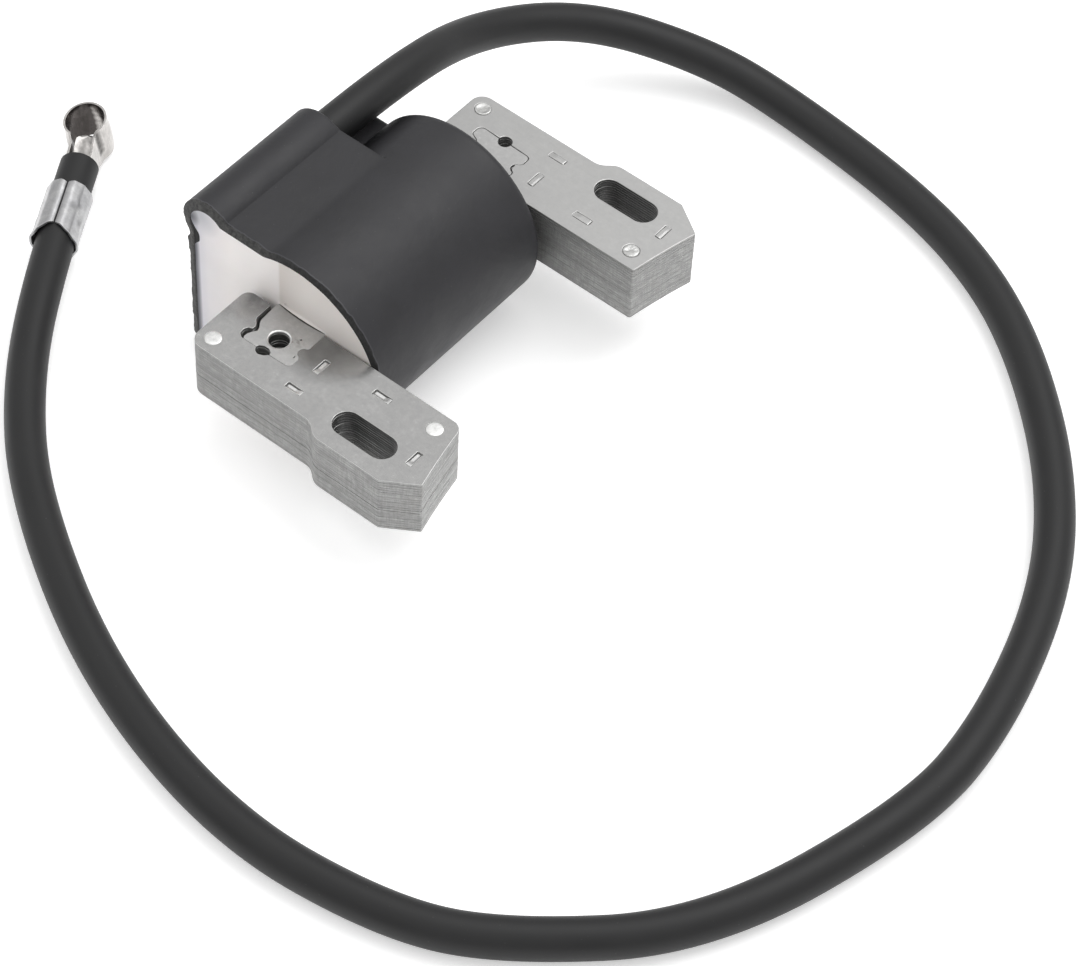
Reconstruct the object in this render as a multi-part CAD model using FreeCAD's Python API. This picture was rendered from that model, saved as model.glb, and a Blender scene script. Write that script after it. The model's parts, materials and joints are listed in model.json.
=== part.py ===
"""Ignition coil for a small engine: laminated armature, potted windings and trigger module,
round-backed housing with a lead tower, and a high-tension lead with its plug terminal.

The coil is drawn from its own datum: x runs along the legs from their rear ends, y along the
core bar from the middle of the coil, z up from the top face of the laminations. Every finished
piece is then moved so that the part's origin is the middle of its underside. The lead lies on
the surface that the coil stands on, and its route is given from that origin.
"""
import FreeCAD, Part
import math
import os

V = FreeCAD.Vector

# Laminated armature
STACK = 12.6
LEG_LENGTH = 50.15
LEG_INNER_TIP_X = 47.2
LEG_INNER = 23.0
EAR_INNER = 23.65
LEG_OUTER_NARROW = 38.65
LEG_OUTER_WIDE = 40.8
LEG_SHOULDER_X = (26.0, 31.0)
LEG_CHAMFER = ((44.05, 40.8), (50.15, 36.85))
FLYWHEEL_CENTRE_X = 189.2
TIP_CORNER_R = {"near": 2.0, "far": 0.5}
EAR_INNER_R = 1.8
EAR_OUTER_R = 2.5
SLOT_ENDS_X = (32.3, 39.85)
SLOT_Y = 35.0
SLOT_R = 2.6
RIVETS = {"rear": (3.0, 35.7), "front": (44.05, 26.4)}
RIVET_R = 1.6
RIVET_PROUD = 0.15
DIMPLES = ((20.4, 26.9, 1.2, 3.3), (19.0, 34.5, 3.4, 1.2), (31.1, 26.1, 3.6, 1.3), (45.0, 31.8, 1.2, 3.3))
DIMPLE_DEPTH = 0.3
BAR_X = (6.25, 16.8)
HEAD_X = (5.45, 16.9)
HEAD_Y = (29.75, 32.05)
HEAD_CORNER_R = 1.0
WAIST_Y = 28.95
WAIST_R = 0.9
CORE_HOLE = (11.6, 28.65, 1.8)
JOINT_HOLE_R = 1.3
JOINT_HOLE_X = 11.3
JOINT_HOLE_Y = {"near": 32.3, "far": 32.0}
NEAR_GAP = ((5.45, 6.25, 22.9, 28.1), (5.0, 5.45, 30.3, 31.9))

# Housing
ROUND_X = 10.5
ROUND_Z = -STACK / 2
ROUND_R = 18.45
TOWER_X = -9.9
TOWER_Z = 7.05
TOWER_R = 5.85
TOWER_END_Y = 7.05
FLAT_TOP_Z = 11.1
LEDGE_Z = 1.75
LEFT_WALL_X = -14.8
RIM_Y = -22.85
FAR_END_Y = 20.8
WALL = 1.2
END_WALL = 1.5
FOOT_CORNER_R = 2.0
FAR_EDGE_R = 1.5
BARREL_R = 5.0
BARREL_START_Y = -4.5
RESIN_FACE_Y = -22.6
BOTTOM_Z = ROUND_Z - ROUND_R

# Windings: thickness built up from the bar's surface, and ends along y
PRIMARY_FORMER = 0.9
PRIMARY_TOP = 2.9
INSULATION_TOP = 3.3
SECONDARY_FORMER = 4.0
SECONDARY_TOP = 6.6
WRAP_TOP = 6.9
TRIGGER_TOP = 2.1
PRIMARY_Y = (-20.5, 17.5)
PRIMARY_FLANGES = ((-20.5, -19.5), (-17.5, -16.7), (16.5, 17.5))
SECONDARY_Y = (-16.0, 15.5)
SECONDARY_SECTIONS = 4
PARTITION = 0.8

# Trigger module
BOARD = ((-4.6, -19.5, -20.0), (1.2, 22.5, 18.0))
POWER_TRANSISTOR = ((-9.0, -15.0, -17.5), (4.4, 10.0, 9.0))
POWER_TAB = ((-5.4, -15.0, -8.5), (0.8, 10.0, 4.0))
DRIVER_TRANSISTOR = ((-8.2, -1.5, -16.0), (3.6, 4.4, 4.6))
RESISTOR_CENTRE = (-6.1, -1.0, -5.5)
RESISTOR_R = 1.2
RESISTOR_LENGTH = 5.0
RESISTOR_LEAD = 1.2
WIRE_R = 0.3
LINK_WIRE_R = 0.4
WIRE_BEND = 0.45
PRIMARY_WIRE_AT = (-16.35, -10.0)
TRIGGER_WIRE_AT = (-18.5, -5.0)
GROUND_WIRE_AT = (-21.4, -8.0)
LINK_START = (-12.0, -1.0)
LINK_TURN_X = -2.5
LINK_TOWER_Y = -13.0

# High-tension lead
LEAD_R = 3.6
CONDUCTOR_R = 1.1
CONTACT_DISC = (-5.3, 3.5)
SEAL_END_Y = -3.5
SPIKE_R = 0.5
SPIKE_TIP_Y = 2.5
BEND_SHARE = 0.45
LEAD_ROUTE = [
    (-27.1, 7.05, 31.8),
    (-27.1, 27, 31.8),
    (-30.5, 54, 20.8),
    (-21, 75, 14),
    (-2, 87.5, 7.1),
    (14.5, 90.5, 3.6),
    (47, 86.5, 3.6),
    (68.5, 79.2, 3.6),
    (86, 67.5, 3.6),
    (104.5, 49, 3.6),
    (117.5, 28, 3.6),
    (125.4, 0, 3.6),
    (126.3, -23, 3.6),
    (114, -63, 3.6),
    (90.5, -85.3, 3.6),
    (73.5, -93.6, 3.6),
    (43.5, -97.4, 3.6),
    (7.5, -88.6, 3.6),
    (-26.5, -69.5, 3.6),
    (-45.5, -51.6, 3.6),
    (-61, -29, 4.2),
    (-72.71, -8.39, 4.3),
]

# Plug terminal, from the cut end of the lead
FERRULE_FROM_END = 7.3
FERRULE_LENGTH = 12.2
FERRULE_FLATS = 8.4
FERRULE_CORNER_R = 1.6
FERRULE_SEAM = 0.4
CLIP_CENTRE = 8.2
CLIP_ASIDE = 0.25
CLIP_ROLL = 9.0
CLIP_BORE_R = 3.65
CLIP_WALL = 0.5
CLIP_Z = (-3.4, 3.7)
CLIP_SLOT = 3.2
CLIP_LEG_HALF_HEIGHT = 2.6
STEM_R = 0.8
STEM_LENGTH = 6.0

ORIGIN = V((LEG_LENGTH + TOWER_X - TOWER_R) / 2, 0, BOTTOM_Z)


def box(low, size):
    """A block from its lowest corner and its size."""
    return Part.makeBox(size[0], size[1], size[2], V(*low))


def rod_y(x, z, radius, y0, y1):
    """A cylinder along y."""
    return Part.makeCylinder(radius, y1 - y0, V(x, y0, z), V(0, 1, 0))


def hole_z(x, y, radius):
    """A cylinder through the laminations."""
    return Part.makeCylinder(radius, STACK + 2, V(x, y, -STACK - 1))


def vertical_edges(shape, spots):
    """The upright edges of a plate at the given (x, y) places."""
    found = []
    for edge in shape.Edges:
        ends = [vertex.Point for vertex in edge.Vertexes]
        if len(ends) != 2 or abs(ends[0].z - ends[1].z) < 1:
            continue
        for x, y in spots:
            if all(abs(end.x - x) < 1e-3 and abs(end.y - y) < 1e-3 for end in ends):
                found.append(edge)
    return found


def flat_block(x0, x1, v0, v1, side):
    """A block through the laminations between two x and two distances from the middle."""
    return box((x0, min(side * v0, side * v1), -STACK), (x1 - x0, abs(v1 - v0), STACK))


def core_bar():
    """The bar through the windings: a waist and a T-head at each end lock it into the legs."""
    bar = flat_block(BAR_X[0], BAR_X[1], -HEAD_Y[0], HEAD_Y[0], 1)
    for side in (-1, 1):
        head = flat_block(HEAD_X[0], HEAD_X[1], HEAD_Y[0], HEAD_Y[1], side)
        corners = [(x, side * HEAD_Y[1]) for x in HEAD_X]
        head = head.makeFillet(HEAD_CORNER_R, vertical_edges(head, corners))
        bar = bar.fuse(head)
        for x in BAR_X:
            bar = bar.cut(hole_z(x, side * WAIST_Y, WAIST_R))
    return bar.removeSplitter()


def leg_outline(side):
    """The outer edge of one leg: ear, straight inner edge, flywheel arc, chamfer, shoulder."""
    def at(x, v):
        return V(x, side * v, -STACK)

    def flywheel_arc(start, end):
        radius = math.hypot(FLYWHEEL_CENTRE_X - end[0], end[1])
        v = (start[1] + end[1]) / 2
        x = FLYWHEEL_CENTRE_X - math.sqrt(radius ** 2 - v ** 2)
        return Part.Arc(at(*start), at(x, v), at(*end)).toShape()

    shoulder = Part.BezierCurve()
    middle_x = sum(LEG_SHOULDER_X) / 2
    shoulder.setPoles([
        at(LEG_SHOULDER_X[1], LEG_OUTER_WIDE),
        at(middle_x, LEG_OUTER_WIDE),
        at(middle_x, LEG_OUTER_NARROW),
        at(LEG_SHOULDER_X[0], LEG_OUTER_NARROW),
    ])
    inner_tip = (LEG_INNER_TIP_X, LEG_INNER)
    lines = [
        (at(0, EAR_INNER), at(BAR_X[1], EAR_INNER)),
        (at(BAR_X[1], EAR_INNER), at(BAR_X[1], LEG_INNER)),
        (at(BAR_X[1], LEG_INNER), at(*inner_tip)),
        (at(*LEG_CHAMFER[1]), at(*LEG_CHAMFER[0])),
        (at(*LEG_CHAMFER[0]), at(LEG_SHOULDER_X[1], LEG_OUTER_WIDE)),
        (at(LEG_SHOULDER_X[0], LEG_OUTER_NARROW), at(0, LEG_OUTER_NARROW)),
        (at(0, LEG_OUTER_NARROW), at(0, EAR_INNER)),
    ]
    edges = [Part.LineSegment(a, b).toShape() for a, b in lines]
    edges.append(flywheel_arc(inner_tip, LEG_CHAMFER[1]))
    edges.append(shoulder.toShape())
    return Part.Wire(Part.__sortEdges__(edges))


def leg(name, bar):
    """One leg of the armature, with its mounting slot, rivet holes and locking dimples."""
    side = -1 if name == "near" else 1
    plate = Part.Face(leg_outline(side)).extrude(V(0, 0, STACK))
    rounds = [
        (TIP_CORNER_R[name], (LEG_INNER_TIP_X, LEG_INNER)),
        (EAR_INNER_R, (0, EAR_INNER)),
        (EAR_OUTER_R, (0, LEG_OUTER_NARROW)),
    ]
    for radius, (x, v) in rounds:
        plate = plate.makeFillet(radius, vertical_edges(plate, [(x, side * v)]))
    plate = plate.cut(bar)
    slot_start, slot_end = SLOT_ENDS_X
    slot = flat_block(slot_start, slot_end, SLOT_Y - SLOT_R, SLOT_Y + SLOT_R, side)
    for x in SLOT_ENDS_X:
        slot = slot.fuse(hole_z(x, side * SLOT_Y, SLOT_R))
    plate = plate.cut(slot)
    for x, v in RIVETS.values():
        plate = plate.cut(hole_z(x, side * v, RIVET_R))
    plate = plate.cut(hole_z(JOINT_HOLE_X, side * JOINT_HOLE_Y[name], JOINT_HOLE_R))
    if name == "near":
        for x0, x1, v0, v1 in NEAR_GAP:
            plate = plate.cut(flat_block(x0, x1, v0, v1, side))
    for x, v, dx, dv in DIMPLES:
        y = min(side * v, side * (v + dv))
        sunk_z = -DIMPLE_DEPTH if name == "near" else -STACK
        proud_z = -STACK - DIMPLE_DEPTH if name == "near" else 0
        plate = plate.cut(box((x, y, sunk_z), (dx, dv, DIMPLE_DEPTH)))
        plate = plate.fuse(box((x, y, proud_z), (dx, dv, DIMPLE_DEPTH)))
    return plate


def rivet(x, y):
    """A rivet through one leg, its ends a little proud of both faces."""
    height = STACK + 2 * RIVET_PROUD
    return Part.makeCylinder(RIVET_R, height, V(x, y, -STACK - RIVET_PROUD))


def shell_form(inset, y0, y1, with_tower):
    """The housing's section, inset by a wall, between two y. Past the tower it has a low ledge."""
    length = y1 - y0
    left = LEFT_WALL_X + inset
    bottom = BOTTOM_Z + inset
    top = TOWER_Z if with_tower else LEDGE_Z - inset
    form = box((left, y0, bottom), (ROUND_X - left, length, top - bottom))
    foot = [
        edge for edge in form.Edges
        if all(abs(v.X - left) < 1e-6 and abs(v.Z - bottom) < 1e-6 for v in edge.Vertexes)
    ]
    form = form.makeFillet(FOOT_CORNER_R, foot)
    form = form.fuse(rod_y(ROUND_X, ROUND_Z, ROUND_R - inset, y0, y1))
    if with_tower:
        form = form.fuse(rod_y(TOWER_X, TOWER_Z, TOWER_R - inset, y0, y1))
        web_height = FLAT_TOP_Z - inset - ROUND_Z
        form = form.fuse(box((TOWER_X, y0, ROUND_Z), (ROUND_X - TOWER_X, length, web_height)))
    return form.removeSplitter()


def housing_cavity(mouth_y):
    """The space inside the housing, from its mouth to its end wall, around the lead's barrel."""
    near_end = TOWER_END_Y - END_WALL
    near = shell_form(WALL, mouth_y, near_end, True)
    near = near.cut(rod_y(TOWER_X, TOWER_Z, BARREL_R, BARREL_START_Y, near_end + 1))
    far = shell_form(WALL, near_end, FAR_END_Y - END_WALL, False)
    return near.fuse(far).removeSplitter()


def coil_housing(bar):
    """Round-backed case, open at the near rim, with the lead's tower along its top left."""
    outer = shell_form(0, RIM_Y, TOWER_END_Y, True)
    outer = outer.fuse(shell_form(0, TOWER_END_Y, FAR_END_Y, False)).removeSplitter()
    rim = [
        edge for edge in outer.Edges
        if edge.Curve.TypeId == "Part::GeomCircle" and edge.Curve.Radius > TOWER_R
        and all(abs(vertex.Y - FAR_END_Y) < 1e-6 for vertex in edge.Vertexes)
    ]
    outer = outer.makeFillet(FAR_EDGE_R, rim)
    case = outer.cut(housing_cavity(RIM_Y - 1))
    case = case.cut(rod_y(TOWER_X, TOWER_Z, LEAD_R, BARREL_START_Y, TOWER_END_Y))
    return case.cut(bar)


def around_bar(offset, y0, y1):
    """A solid whose surface is a given distance from the bar's surface, between two y."""
    size = (BAR_X[1] - BAR_X[0] + 2 * offset, y1 - y0, STACK + 2 * offset)
    form = box((BAR_X[0] - offset, y0, -STACK - offset), size)
    if offset == 0:
        return form
    along = [edge for edge in form.Edges if abs(edge.Length - size[1]) < 1e-6]
    along = [edge for edge in along if abs(edge.tangentAt(edge.FirstParameter).y) > 0.9]
    return form.makeFillet(offset, along)


def layer(inner, outer, y0, y1):
    """A sleeve around the bar between two distances from its surface."""
    return around_bar(outer, y0, y1).cut(around_bar(inner, y0, y1))


def former(inner, wall_top, flange_top, ends, flanges):
    """A bobbin: a sleeve with flanges."""
    body = layer(inner, wall_top, ends[0], ends[1])
    for y0, y1 in flanges:
        body = body.fuse(layer(inner, flange_top, y0, y1))
    return body.removeSplitter()


def secondary_partitions():
    """The ends along y of the secondary bobbin's partitions."""
    start, end = SECONDARY_Y
    pitch = (end - start - PARTITION) / SECONDARY_SECTIONS
    return [(start + i * pitch, start + i * pitch + PARTITION) for i in range(SECONDARY_SECTIONS + 1)]


def secondary_winding(partitions):
    """The high-tension winding: one separate pack of turns between each two partitions."""
    packs = []
    for (_, y0), (y1, _) in zip(partitions, partitions[1:]):
        packs.append(layer(SECONDARY_FORMER, SECONDARY_TOP, y0, y1))
    return Part.makeCompound(packs)


def rounded_path(points, share):
    """Straight runs joined by tangent arcs, and the radius of each arc."""
    points = [V(*point) for point in points]
    edges = []
    radii = []
    start = points[0]
    for before, corner, after in zip(points, points[1:], points[2:]):
        back = before - corner
        ahead = after - corner
        reach = share * min(back.Length, ahead.Length)
        back.normalize()
        ahead.normalize()
        half_turn = (math.pi - back.getAngle(ahead)) / 2
        radius = reach / math.tan(half_turn)
        inward = (back + ahead).normalize()
        middle = corner + inward * (radius / math.cos(half_turn) - radius)
        arc_start = corner + back * reach
        arc_end = corner + ahead * reach
        edges.append(Part.LineSegment(start, arc_start).toShape())
        edges.append(Part.Arc(arc_start, middle, arc_end).toShape())
        radii.append(radius)
        start = arc_end
    edges.append(Part.LineSegment(start, points[-1]).toShape())
    return Part.Wire(edges), radii


def tube(points, radius, share):
    """A round bar along a rounded path, with the path's length and bend radii."""
    path, radii = rounded_path(points, share)
    direction = V(*points[1]) - V(*points[0])
    ring = Part.Wire(Part.makeCircle(radius, V(*points[0]), direction))
    return path.makePipeShell([ring], True, False), path.Length, radii


def straight_wire(start_x, end_x, y, z):
    """A wire along x."""
    return Part.makeCylinder(WIRE_R, start_x - end_x, V(end_x, y, z), V(1, 0, 0))


def bias_resistor():
    """A resistor lying along y above the board, its leads bent down to the board."""
    x, y, z = RESISTOR_CENTRE
    half = RESISTOR_LENGTH / 2
    body = rod_y(x, z, RESISTOR_R, y - half, y + half)
    for way in (-1, 1):
        end = y + way * half
        bent = end + way * RESISTOR_LEAD
        route = [(x, end, z), (x, bent, z), (BOARD[0][0], bent, z)]
        body = body.fuse(tube(route, WIRE_R, WIRE_BEND)[0])
    return body.removeSplitter()


def contact_pin():
    """The high-tension contact: a disc in the resin, and a spike into the lead's conductor."""
    disc_y, disc_r = CONTACT_DISC
    pin = rod_y(TOWER_X, TOWER_Z, disc_r, disc_y, BARREL_START_Y)
    pin = pin.fuse(rod_y(TOWER_X, TOWER_Z, SPIKE_R, BARREL_START_Y, SPIKE_TIP_Y - 1))
    tip = Part.makeCone(SPIKE_R, 0.1, 1, V(TOWER_X, SPIKE_TIP_Y - 1, TOWER_Z), V(0, 1, 0))
    return pin.fuse(tip).removeSplitter()


def windings():
    """Everything wound on the bar, from the inside out."""
    partitions = secondary_partitions()
    first, last = PRIMARY_FLANGES[1][1], PRIMARY_FLANGES[2][0]
    trigger_start, trigger_end = PRIMARY_FLANGES[0][1], PRIMARY_FLANGES[1][0]
    return {
        "primary_bobbin": former(0, PRIMARY_FORMER, PRIMARY_TOP, PRIMARY_Y, PRIMARY_FLANGES),
        "primary_winding": layer(PRIMARY_FORMER, PRIMARY_TOP, first, last),
        "trigger_winding": layer(PRIMARY_FORMER, TRIGGER_TOP, trigger_start, trigger_end),
        "interwinding_insulation": layer(PRIMARY_TOP, INSULATION_TOP, *SECONDARY_Y),
        "secondary_bobbin": former(
            INSULATION_TOP, SECONDARY_FORMER, SECONDARY_TOP, SECONDARY_Y, partitions),
        "secondary_winding": secondary_winding(partitions),
        "secondary_wrap": layer(SECONDARY_TOP, WRAP_TOP, *SECONDARY_Y),
    }


def trigger_module():
    """The board, its transistors and resistor, and the wires between board, coils and tower."""
    (board_x, board_y, _), (board_dx, _, _) = BOARD
    board_face = board_x + board_dx
    board_middle = board_x + board_dx / 2
    primary_x = BAR_X[0] - PRIMARY_TOP
    trigger_x = BAR_X[0] - TRIGGER_TOP
    secondary_x = BAR_X[0] - SECONDARY_TOP
    ground_y, ground_z = GROUND_WIRE_AT
    ground = [
        (BAR_X[0], ground_y, ground_z),
        (board_middle, ground_y, ground_z),
        (board_middle, board_y, ground_z),
    ]
    link = [
        (secondary_x, *LINK_START),
        (LINK_TURN_X, *LINK_START),
        (TOWER_X, LINK_TOWER_Y, TOWER_Z),
        (TOWER_X, CONTACT_DISC[0], TOWER_Z),
    ]
    return {
        "module_board": box(*BOARD),
        "power_transistor": box(*POWER_TRANSISTOR).fuse(box(*POWER_TAB)).removeSplitter(),
        "driver_transistor": box(*DRIVER_TRANSISTOR),
        "bias_resistor": bias_resistor(),
        "primary_wire": straight_wire(primary_x, board_face, *PRIMARY_WIRE_AT),
        "trigger_wire": straight_wire(trigger_x, board_face, *TRIGGER_WIRE_AT),
        "ground_wire": tube(ground, WIRE_R, WIRE_BEND)[0],
        "high_tension_link": tube(link, LINK_WIRE_R, WIRE_BEND)[0],
        "high_tension_contact": contact_pin(),
    }


def lead_in_tower(contact):
    """The seal, jacket and conductor of the lead's end, inside the tower's barrel."""
    seal = rod_y(TOWER_X, TOWER_Z, LEAD_R, BARREL_START_Y, SEAL_END_Y)
    end = rod_y(TOWER_X, TOWER_Z, LEAD_R, SEAL_END_Y, TOWER_END_Y)
    core = rod_y(TOWER_X, TOWER_Z, CONDUCTOR_R, SEAL_END_Y, TOWER_END_Y)
    return {
        "lead_end_seal": seal.cut(contact),
        "lead_inner_end": end.cut(core),
        "lead_inner_conductor": core.cut(contact),
    }


def terminal_clip():
    """The spring clip that snaps over the plug: a slit barrel on a neck with a stem, rolled a little."""
    low, high = CLIP_Z
    height = high - low
    outer_r = CLIP_BORE_R + CLIP_WALL
    centre = V(CLIP_CENTRE, 0, low)
    bore = Part.makeCylinder(CLIP_BORE_R, height, centre)
    leg_x = CLIP_CENTRE - math.sqrt(CLIP_BORE_R ** 2 - (CLIP_SLOT / 2) ** 2)
    half = CLIP_SLOT / 2
    tall = 2 * CLIP_LEG_HALF_HEIGHT
    low_leg = -CLIP_LEG_HALF_HEIGHT
    clip = Part.makeCylinder(outer_r, height, centre).cut(bore)
    clip = clip.cut(box((0, -half, low), (CLIP_CENTRE, CLIP_SLOT, height)))
    for y in (-half - CLIP_WALL, half):
        clip = clip.fuse(box((0, y, low_leg), (leg_x, CLIP_WALL, tall)).cut(bore))
    clip = clip.fuse(box((0, -half, low_leg), (CLIP_WALL, CLIP_SLOT, tall)))
    clip.translate(V(0, CLIP_ASIDE, 0))
    clip = clip.fuse(Part.makeCylinder(STEM_R, STEM_LENGTH, V(-STEM_LENGTH, 0, 0), V(1, 0, 0)))
    clip = clip.removeSplitter()
    clip.rotate(V(0, 0, 0), V(1, 0, 0), -CLIP_ROLL)
    return clip


def crimp_ferrule():
    """A six-sided sheet-metal sleeve round the lead, with its seam on top."""
    corner = FERRULE_FLATS / math.sqrt(3)
    start = -FERRULE_FROM_END - FERRULE_LENGTH
    ring = []
    for i in range(7):
        angle = math.radians(60 * i)
        ring.append(V(start, corner * math.cos(angle), corner * math.sin(angle)))
    sleeve = Part.Face(Part.makePolygon(ring)).extrude(V(FERRULE_LENGTH, 0, 0))
    along = [edge for edge in sleeve.Edges if abs(edge.Length - FERRULE_LENGTH) < 1e-6]
    sleeve = sleeve.makeFillet(FERRULE_CORNER_R, along)
    return sleeve.cut(box((start, -FERRULE_SEAM / 2, 0), (FERRULE_LENGTH, FERRULE_SEAM, corner)))


def at_lead_end(shape):
    """Turn a piece that is drawn along x so that it lies on the end of the lead."""
    end = V(*LEAD_ROUTE[-1])
    run = end - V(*LEAD_ROUTE[-2])
    turned = shape.copy()
    turned.rotate(V(0, 0, 0), V(0, 0, 1), math.degrees(math.atan2(run.y, run.x)))
    turned.translate(end)
    return turned


def free_lead():
    """The lead from the tower to the plug terminal, with the pieces on it."""
    lead, length, radii = tube(LEAD_ROUTE, LEAD_R, BEND_SHARE)
    print("lead length", round(length, 1))
    print("lead volume over section x length", round(lead.Volume / (math.pi * LEAD_R ** 2 * length), 5))
    print("lead bend radii", [round(radius, 1) for radius in radii])
    clip = at_lead_end(terminal_clip())
    ferrule = at_lead_end(crimp_ferrule()).cut(lead)
    return {
        "ignition_lead": lead.cut(clip),
        "crimp_ferrule": ferrule,
        "terminal_clip": clip,
    }


def coil_pieces():
    """Every piece of the coil itself, by name."""
    bar = core_bar()
    pieces = {
        "near_leg_laminations": leg("near", bar),
        "far_leg_laminations": leg("far", bar),
    }
    for name, side in (("near", -1), ("far", 1)):
        for place, (x, v) in RIVETS.items():
            pieces[f"{name}_leg_{place}_rivet"] = rivet(x, side * v)
    inner = windings()
    inner.update(trigger_module())
    inner["secondary_wrap"] = inner["secondary_wrap"].cut(inner["high_tension_link"])
    pieces["coil_housing"] = coil_housing(bar)
    resin = housing_cavity(RESIN_FACE_Y).cut(bar)
    resin = resin.cut(around_bar(0, *PRIMARY_Y))
    for piece in inner.values():
        resin = resin.cut(piece)
    pieces["potting_resin"] = resin
    pieces.update(inner)
    pieces.update(lead_in_tower(inner["high_tension_contact"]))
    bar = bar.cut(hole_z(CORE_HOLE[0], -CORE_HOLE[1], CORE_HOLE[2]))
    pieces["core_bar_laminations"] = bar.cut(hole_z(JOINT_HOLE_X, JOINT_HOLE_Y["far"], JOINT_HOLE_R))
    return pieces


def main():
    os.makedirs("parts", exist_ok=True)
    for name, shape in coil_pieces().items():
        placed = shape.copy()
        placed.translate(ORIGIN * -1)
        placed.exportStep(f"parts/{name}.step")
    for name, shape in free_lead().items():
        shape.exportStep(f"parts/{name}.step")


main()
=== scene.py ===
"""The looks of a small-engine ignition coil: laminated armature, potted housing, lead and clip."""
import json
import math
import random
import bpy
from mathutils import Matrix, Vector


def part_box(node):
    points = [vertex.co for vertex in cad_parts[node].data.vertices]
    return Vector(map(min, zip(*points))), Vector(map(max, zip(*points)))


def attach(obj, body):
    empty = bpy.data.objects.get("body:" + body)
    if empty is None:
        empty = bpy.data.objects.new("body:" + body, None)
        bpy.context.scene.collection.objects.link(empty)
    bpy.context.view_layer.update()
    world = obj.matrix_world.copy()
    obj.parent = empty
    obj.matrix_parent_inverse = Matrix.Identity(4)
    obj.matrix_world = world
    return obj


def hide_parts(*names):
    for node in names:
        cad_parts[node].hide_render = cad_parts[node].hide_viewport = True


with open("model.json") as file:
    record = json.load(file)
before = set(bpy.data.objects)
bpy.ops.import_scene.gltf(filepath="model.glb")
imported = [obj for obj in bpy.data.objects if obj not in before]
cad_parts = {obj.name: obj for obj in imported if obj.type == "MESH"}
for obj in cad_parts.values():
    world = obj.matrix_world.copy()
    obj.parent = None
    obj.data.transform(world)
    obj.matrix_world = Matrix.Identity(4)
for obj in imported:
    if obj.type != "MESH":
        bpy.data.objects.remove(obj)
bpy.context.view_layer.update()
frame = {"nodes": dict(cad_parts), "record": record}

from types import SimpleNamespace

import bmesh
import bpy
from mathutils import Euler, Matrix, Vector, noise

MM = 0.001
TAU = 2 * math.pi

# ---------- Places and sizes ----------

# Lengths are in millimetres in the coil's own drawing: x from the legs' rear ends towards the
# flywheel, y from the middle of the core bar, z up from the laminations' top.
LEG_LOW, LEG_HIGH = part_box("near_leg_laminations")
BAR_LOW, BAR_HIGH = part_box("core_bar_laminations")
DATUM = Vector((LEG_LOW.x, 0, BAR_HIGH.z))


def at(x, y, z):
    """A place in the coil's drawing as a point in the frame, in metres."""
    return DATUM + Vector((x, y, z)) * MM


def drawn(point):
    """A point in the frame as a place in the coil's drawing."""
    return (point - DATUM) / MM


CASE_LOW, CASE_HIGH = (drawn(corner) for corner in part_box("coil_housing"))
STACK = -drawn(BAR_LOW).z
LEG_LENGTH = drawn(LEG_HIGH).x
LEG_OUTER = -drawn(LEG_LOW).y
LEG_INNER = -drawn(LEG_HIGH).y

# Laminations. The legs mirror each other, so their y is measured away from the bar's middle.
# Rivets are (x, y), dimples (x, y, size along x, size along y), and holes (x, y, radius).
SHEETS = 21
PITCH = STACK / SHEETS
EAR_INNER = 23.65
LEG_NARROW = 38.65
SHOULDER_X = (26.0, 31.0)
INNER_TIP_X = 47.2
CHAMFER_X = 44.05
TIP_OUTER = 36.85
FLYWHEEL_X = 189.2
SLOT_X = (32.3, 39.85)
SLOT_Y = 35.0
SLOT_R = 2.6
RIVETS = {"rear": (3.0, 35.7), "front": (44.05, 26.4)}
RIVET_HOLE_R = 1.52
DIMPLES = (
    (20.4, 26.9, 1.2, 3.3),
    (19.0, 34.5, 3.4, 1.2),
    (31.1, 26.1, 3.6, 1.3),
    (45.0, 31.8, 1.2, 3.3),
)
BAR_X = (6.25, 16.8)
BAR_MIDDLE = sum(BAR_X) / 2
HEAD_X = (5.45, 16.9)
HEAD_Y = (29.9, 32.05)
WAIST_START_Y = 26.9
WAIST_Y = 28.3
WAIST_R = 1.13
JOINT_HOLE = (11.1, 32.05, 1.3)
CORE_HOLE = (11.6, 28.65, 1.8)

# Housing and resin
ROUND_X, ROUND_Z = 10.5, -STACK / 2
TOWER_X, TOWER_Z = -9.9, 7.05
TOWER_END_Y = 7.05
RIM_Y = CASE_LOW.y
FAR_END_Y = CASE_HIGH.y
BOTTOM_Z = CASE_LOW.z
END_WALL = 1.5
RESIN_Y = -22.62

# Lead
LEAD_DIAMETER = 7.2
LEAD_ROUTE = [
    (-27.1, 7.05, 31.8),
    (-27.1, 27, 31.8),
    (-30.5, 54, 20.8),
    (-21, 75, 14),
    (-2, 87.5, 7.1),
    (14.5, 90.5, 3.6),
    (47, 86.5, 3.6),
    (68.5, 79.2, 3.6),
    (86, 67.5, 3.6),
    (104.5, 49, 3.6),
    (117.5, 28, 3.6),
    (125.4, 0, 3.6),
    (126.3, -23, 3.6),
    (114, -63, 3.6),
    (90.5, -85.3, 3.6),
    (73.5, -93.6, 3.6),
    (43.5, -97.4, 3.6),
    (7.5, -88.6, 3.6),
    (-26.5, -69.5, 3.6),
    (-45.5, -51.6, 3.6),
    (-61, -29, 4.2),
    (-72.71, -8.39, 4.3),
]
LEAD_END = Vector(LEAD_ROUTE[-1])
LEAD_RUN = LEAD_END - Vector(LEAD_ROUTE[-2])


# ---------- Camera, floor and light ----------

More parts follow.
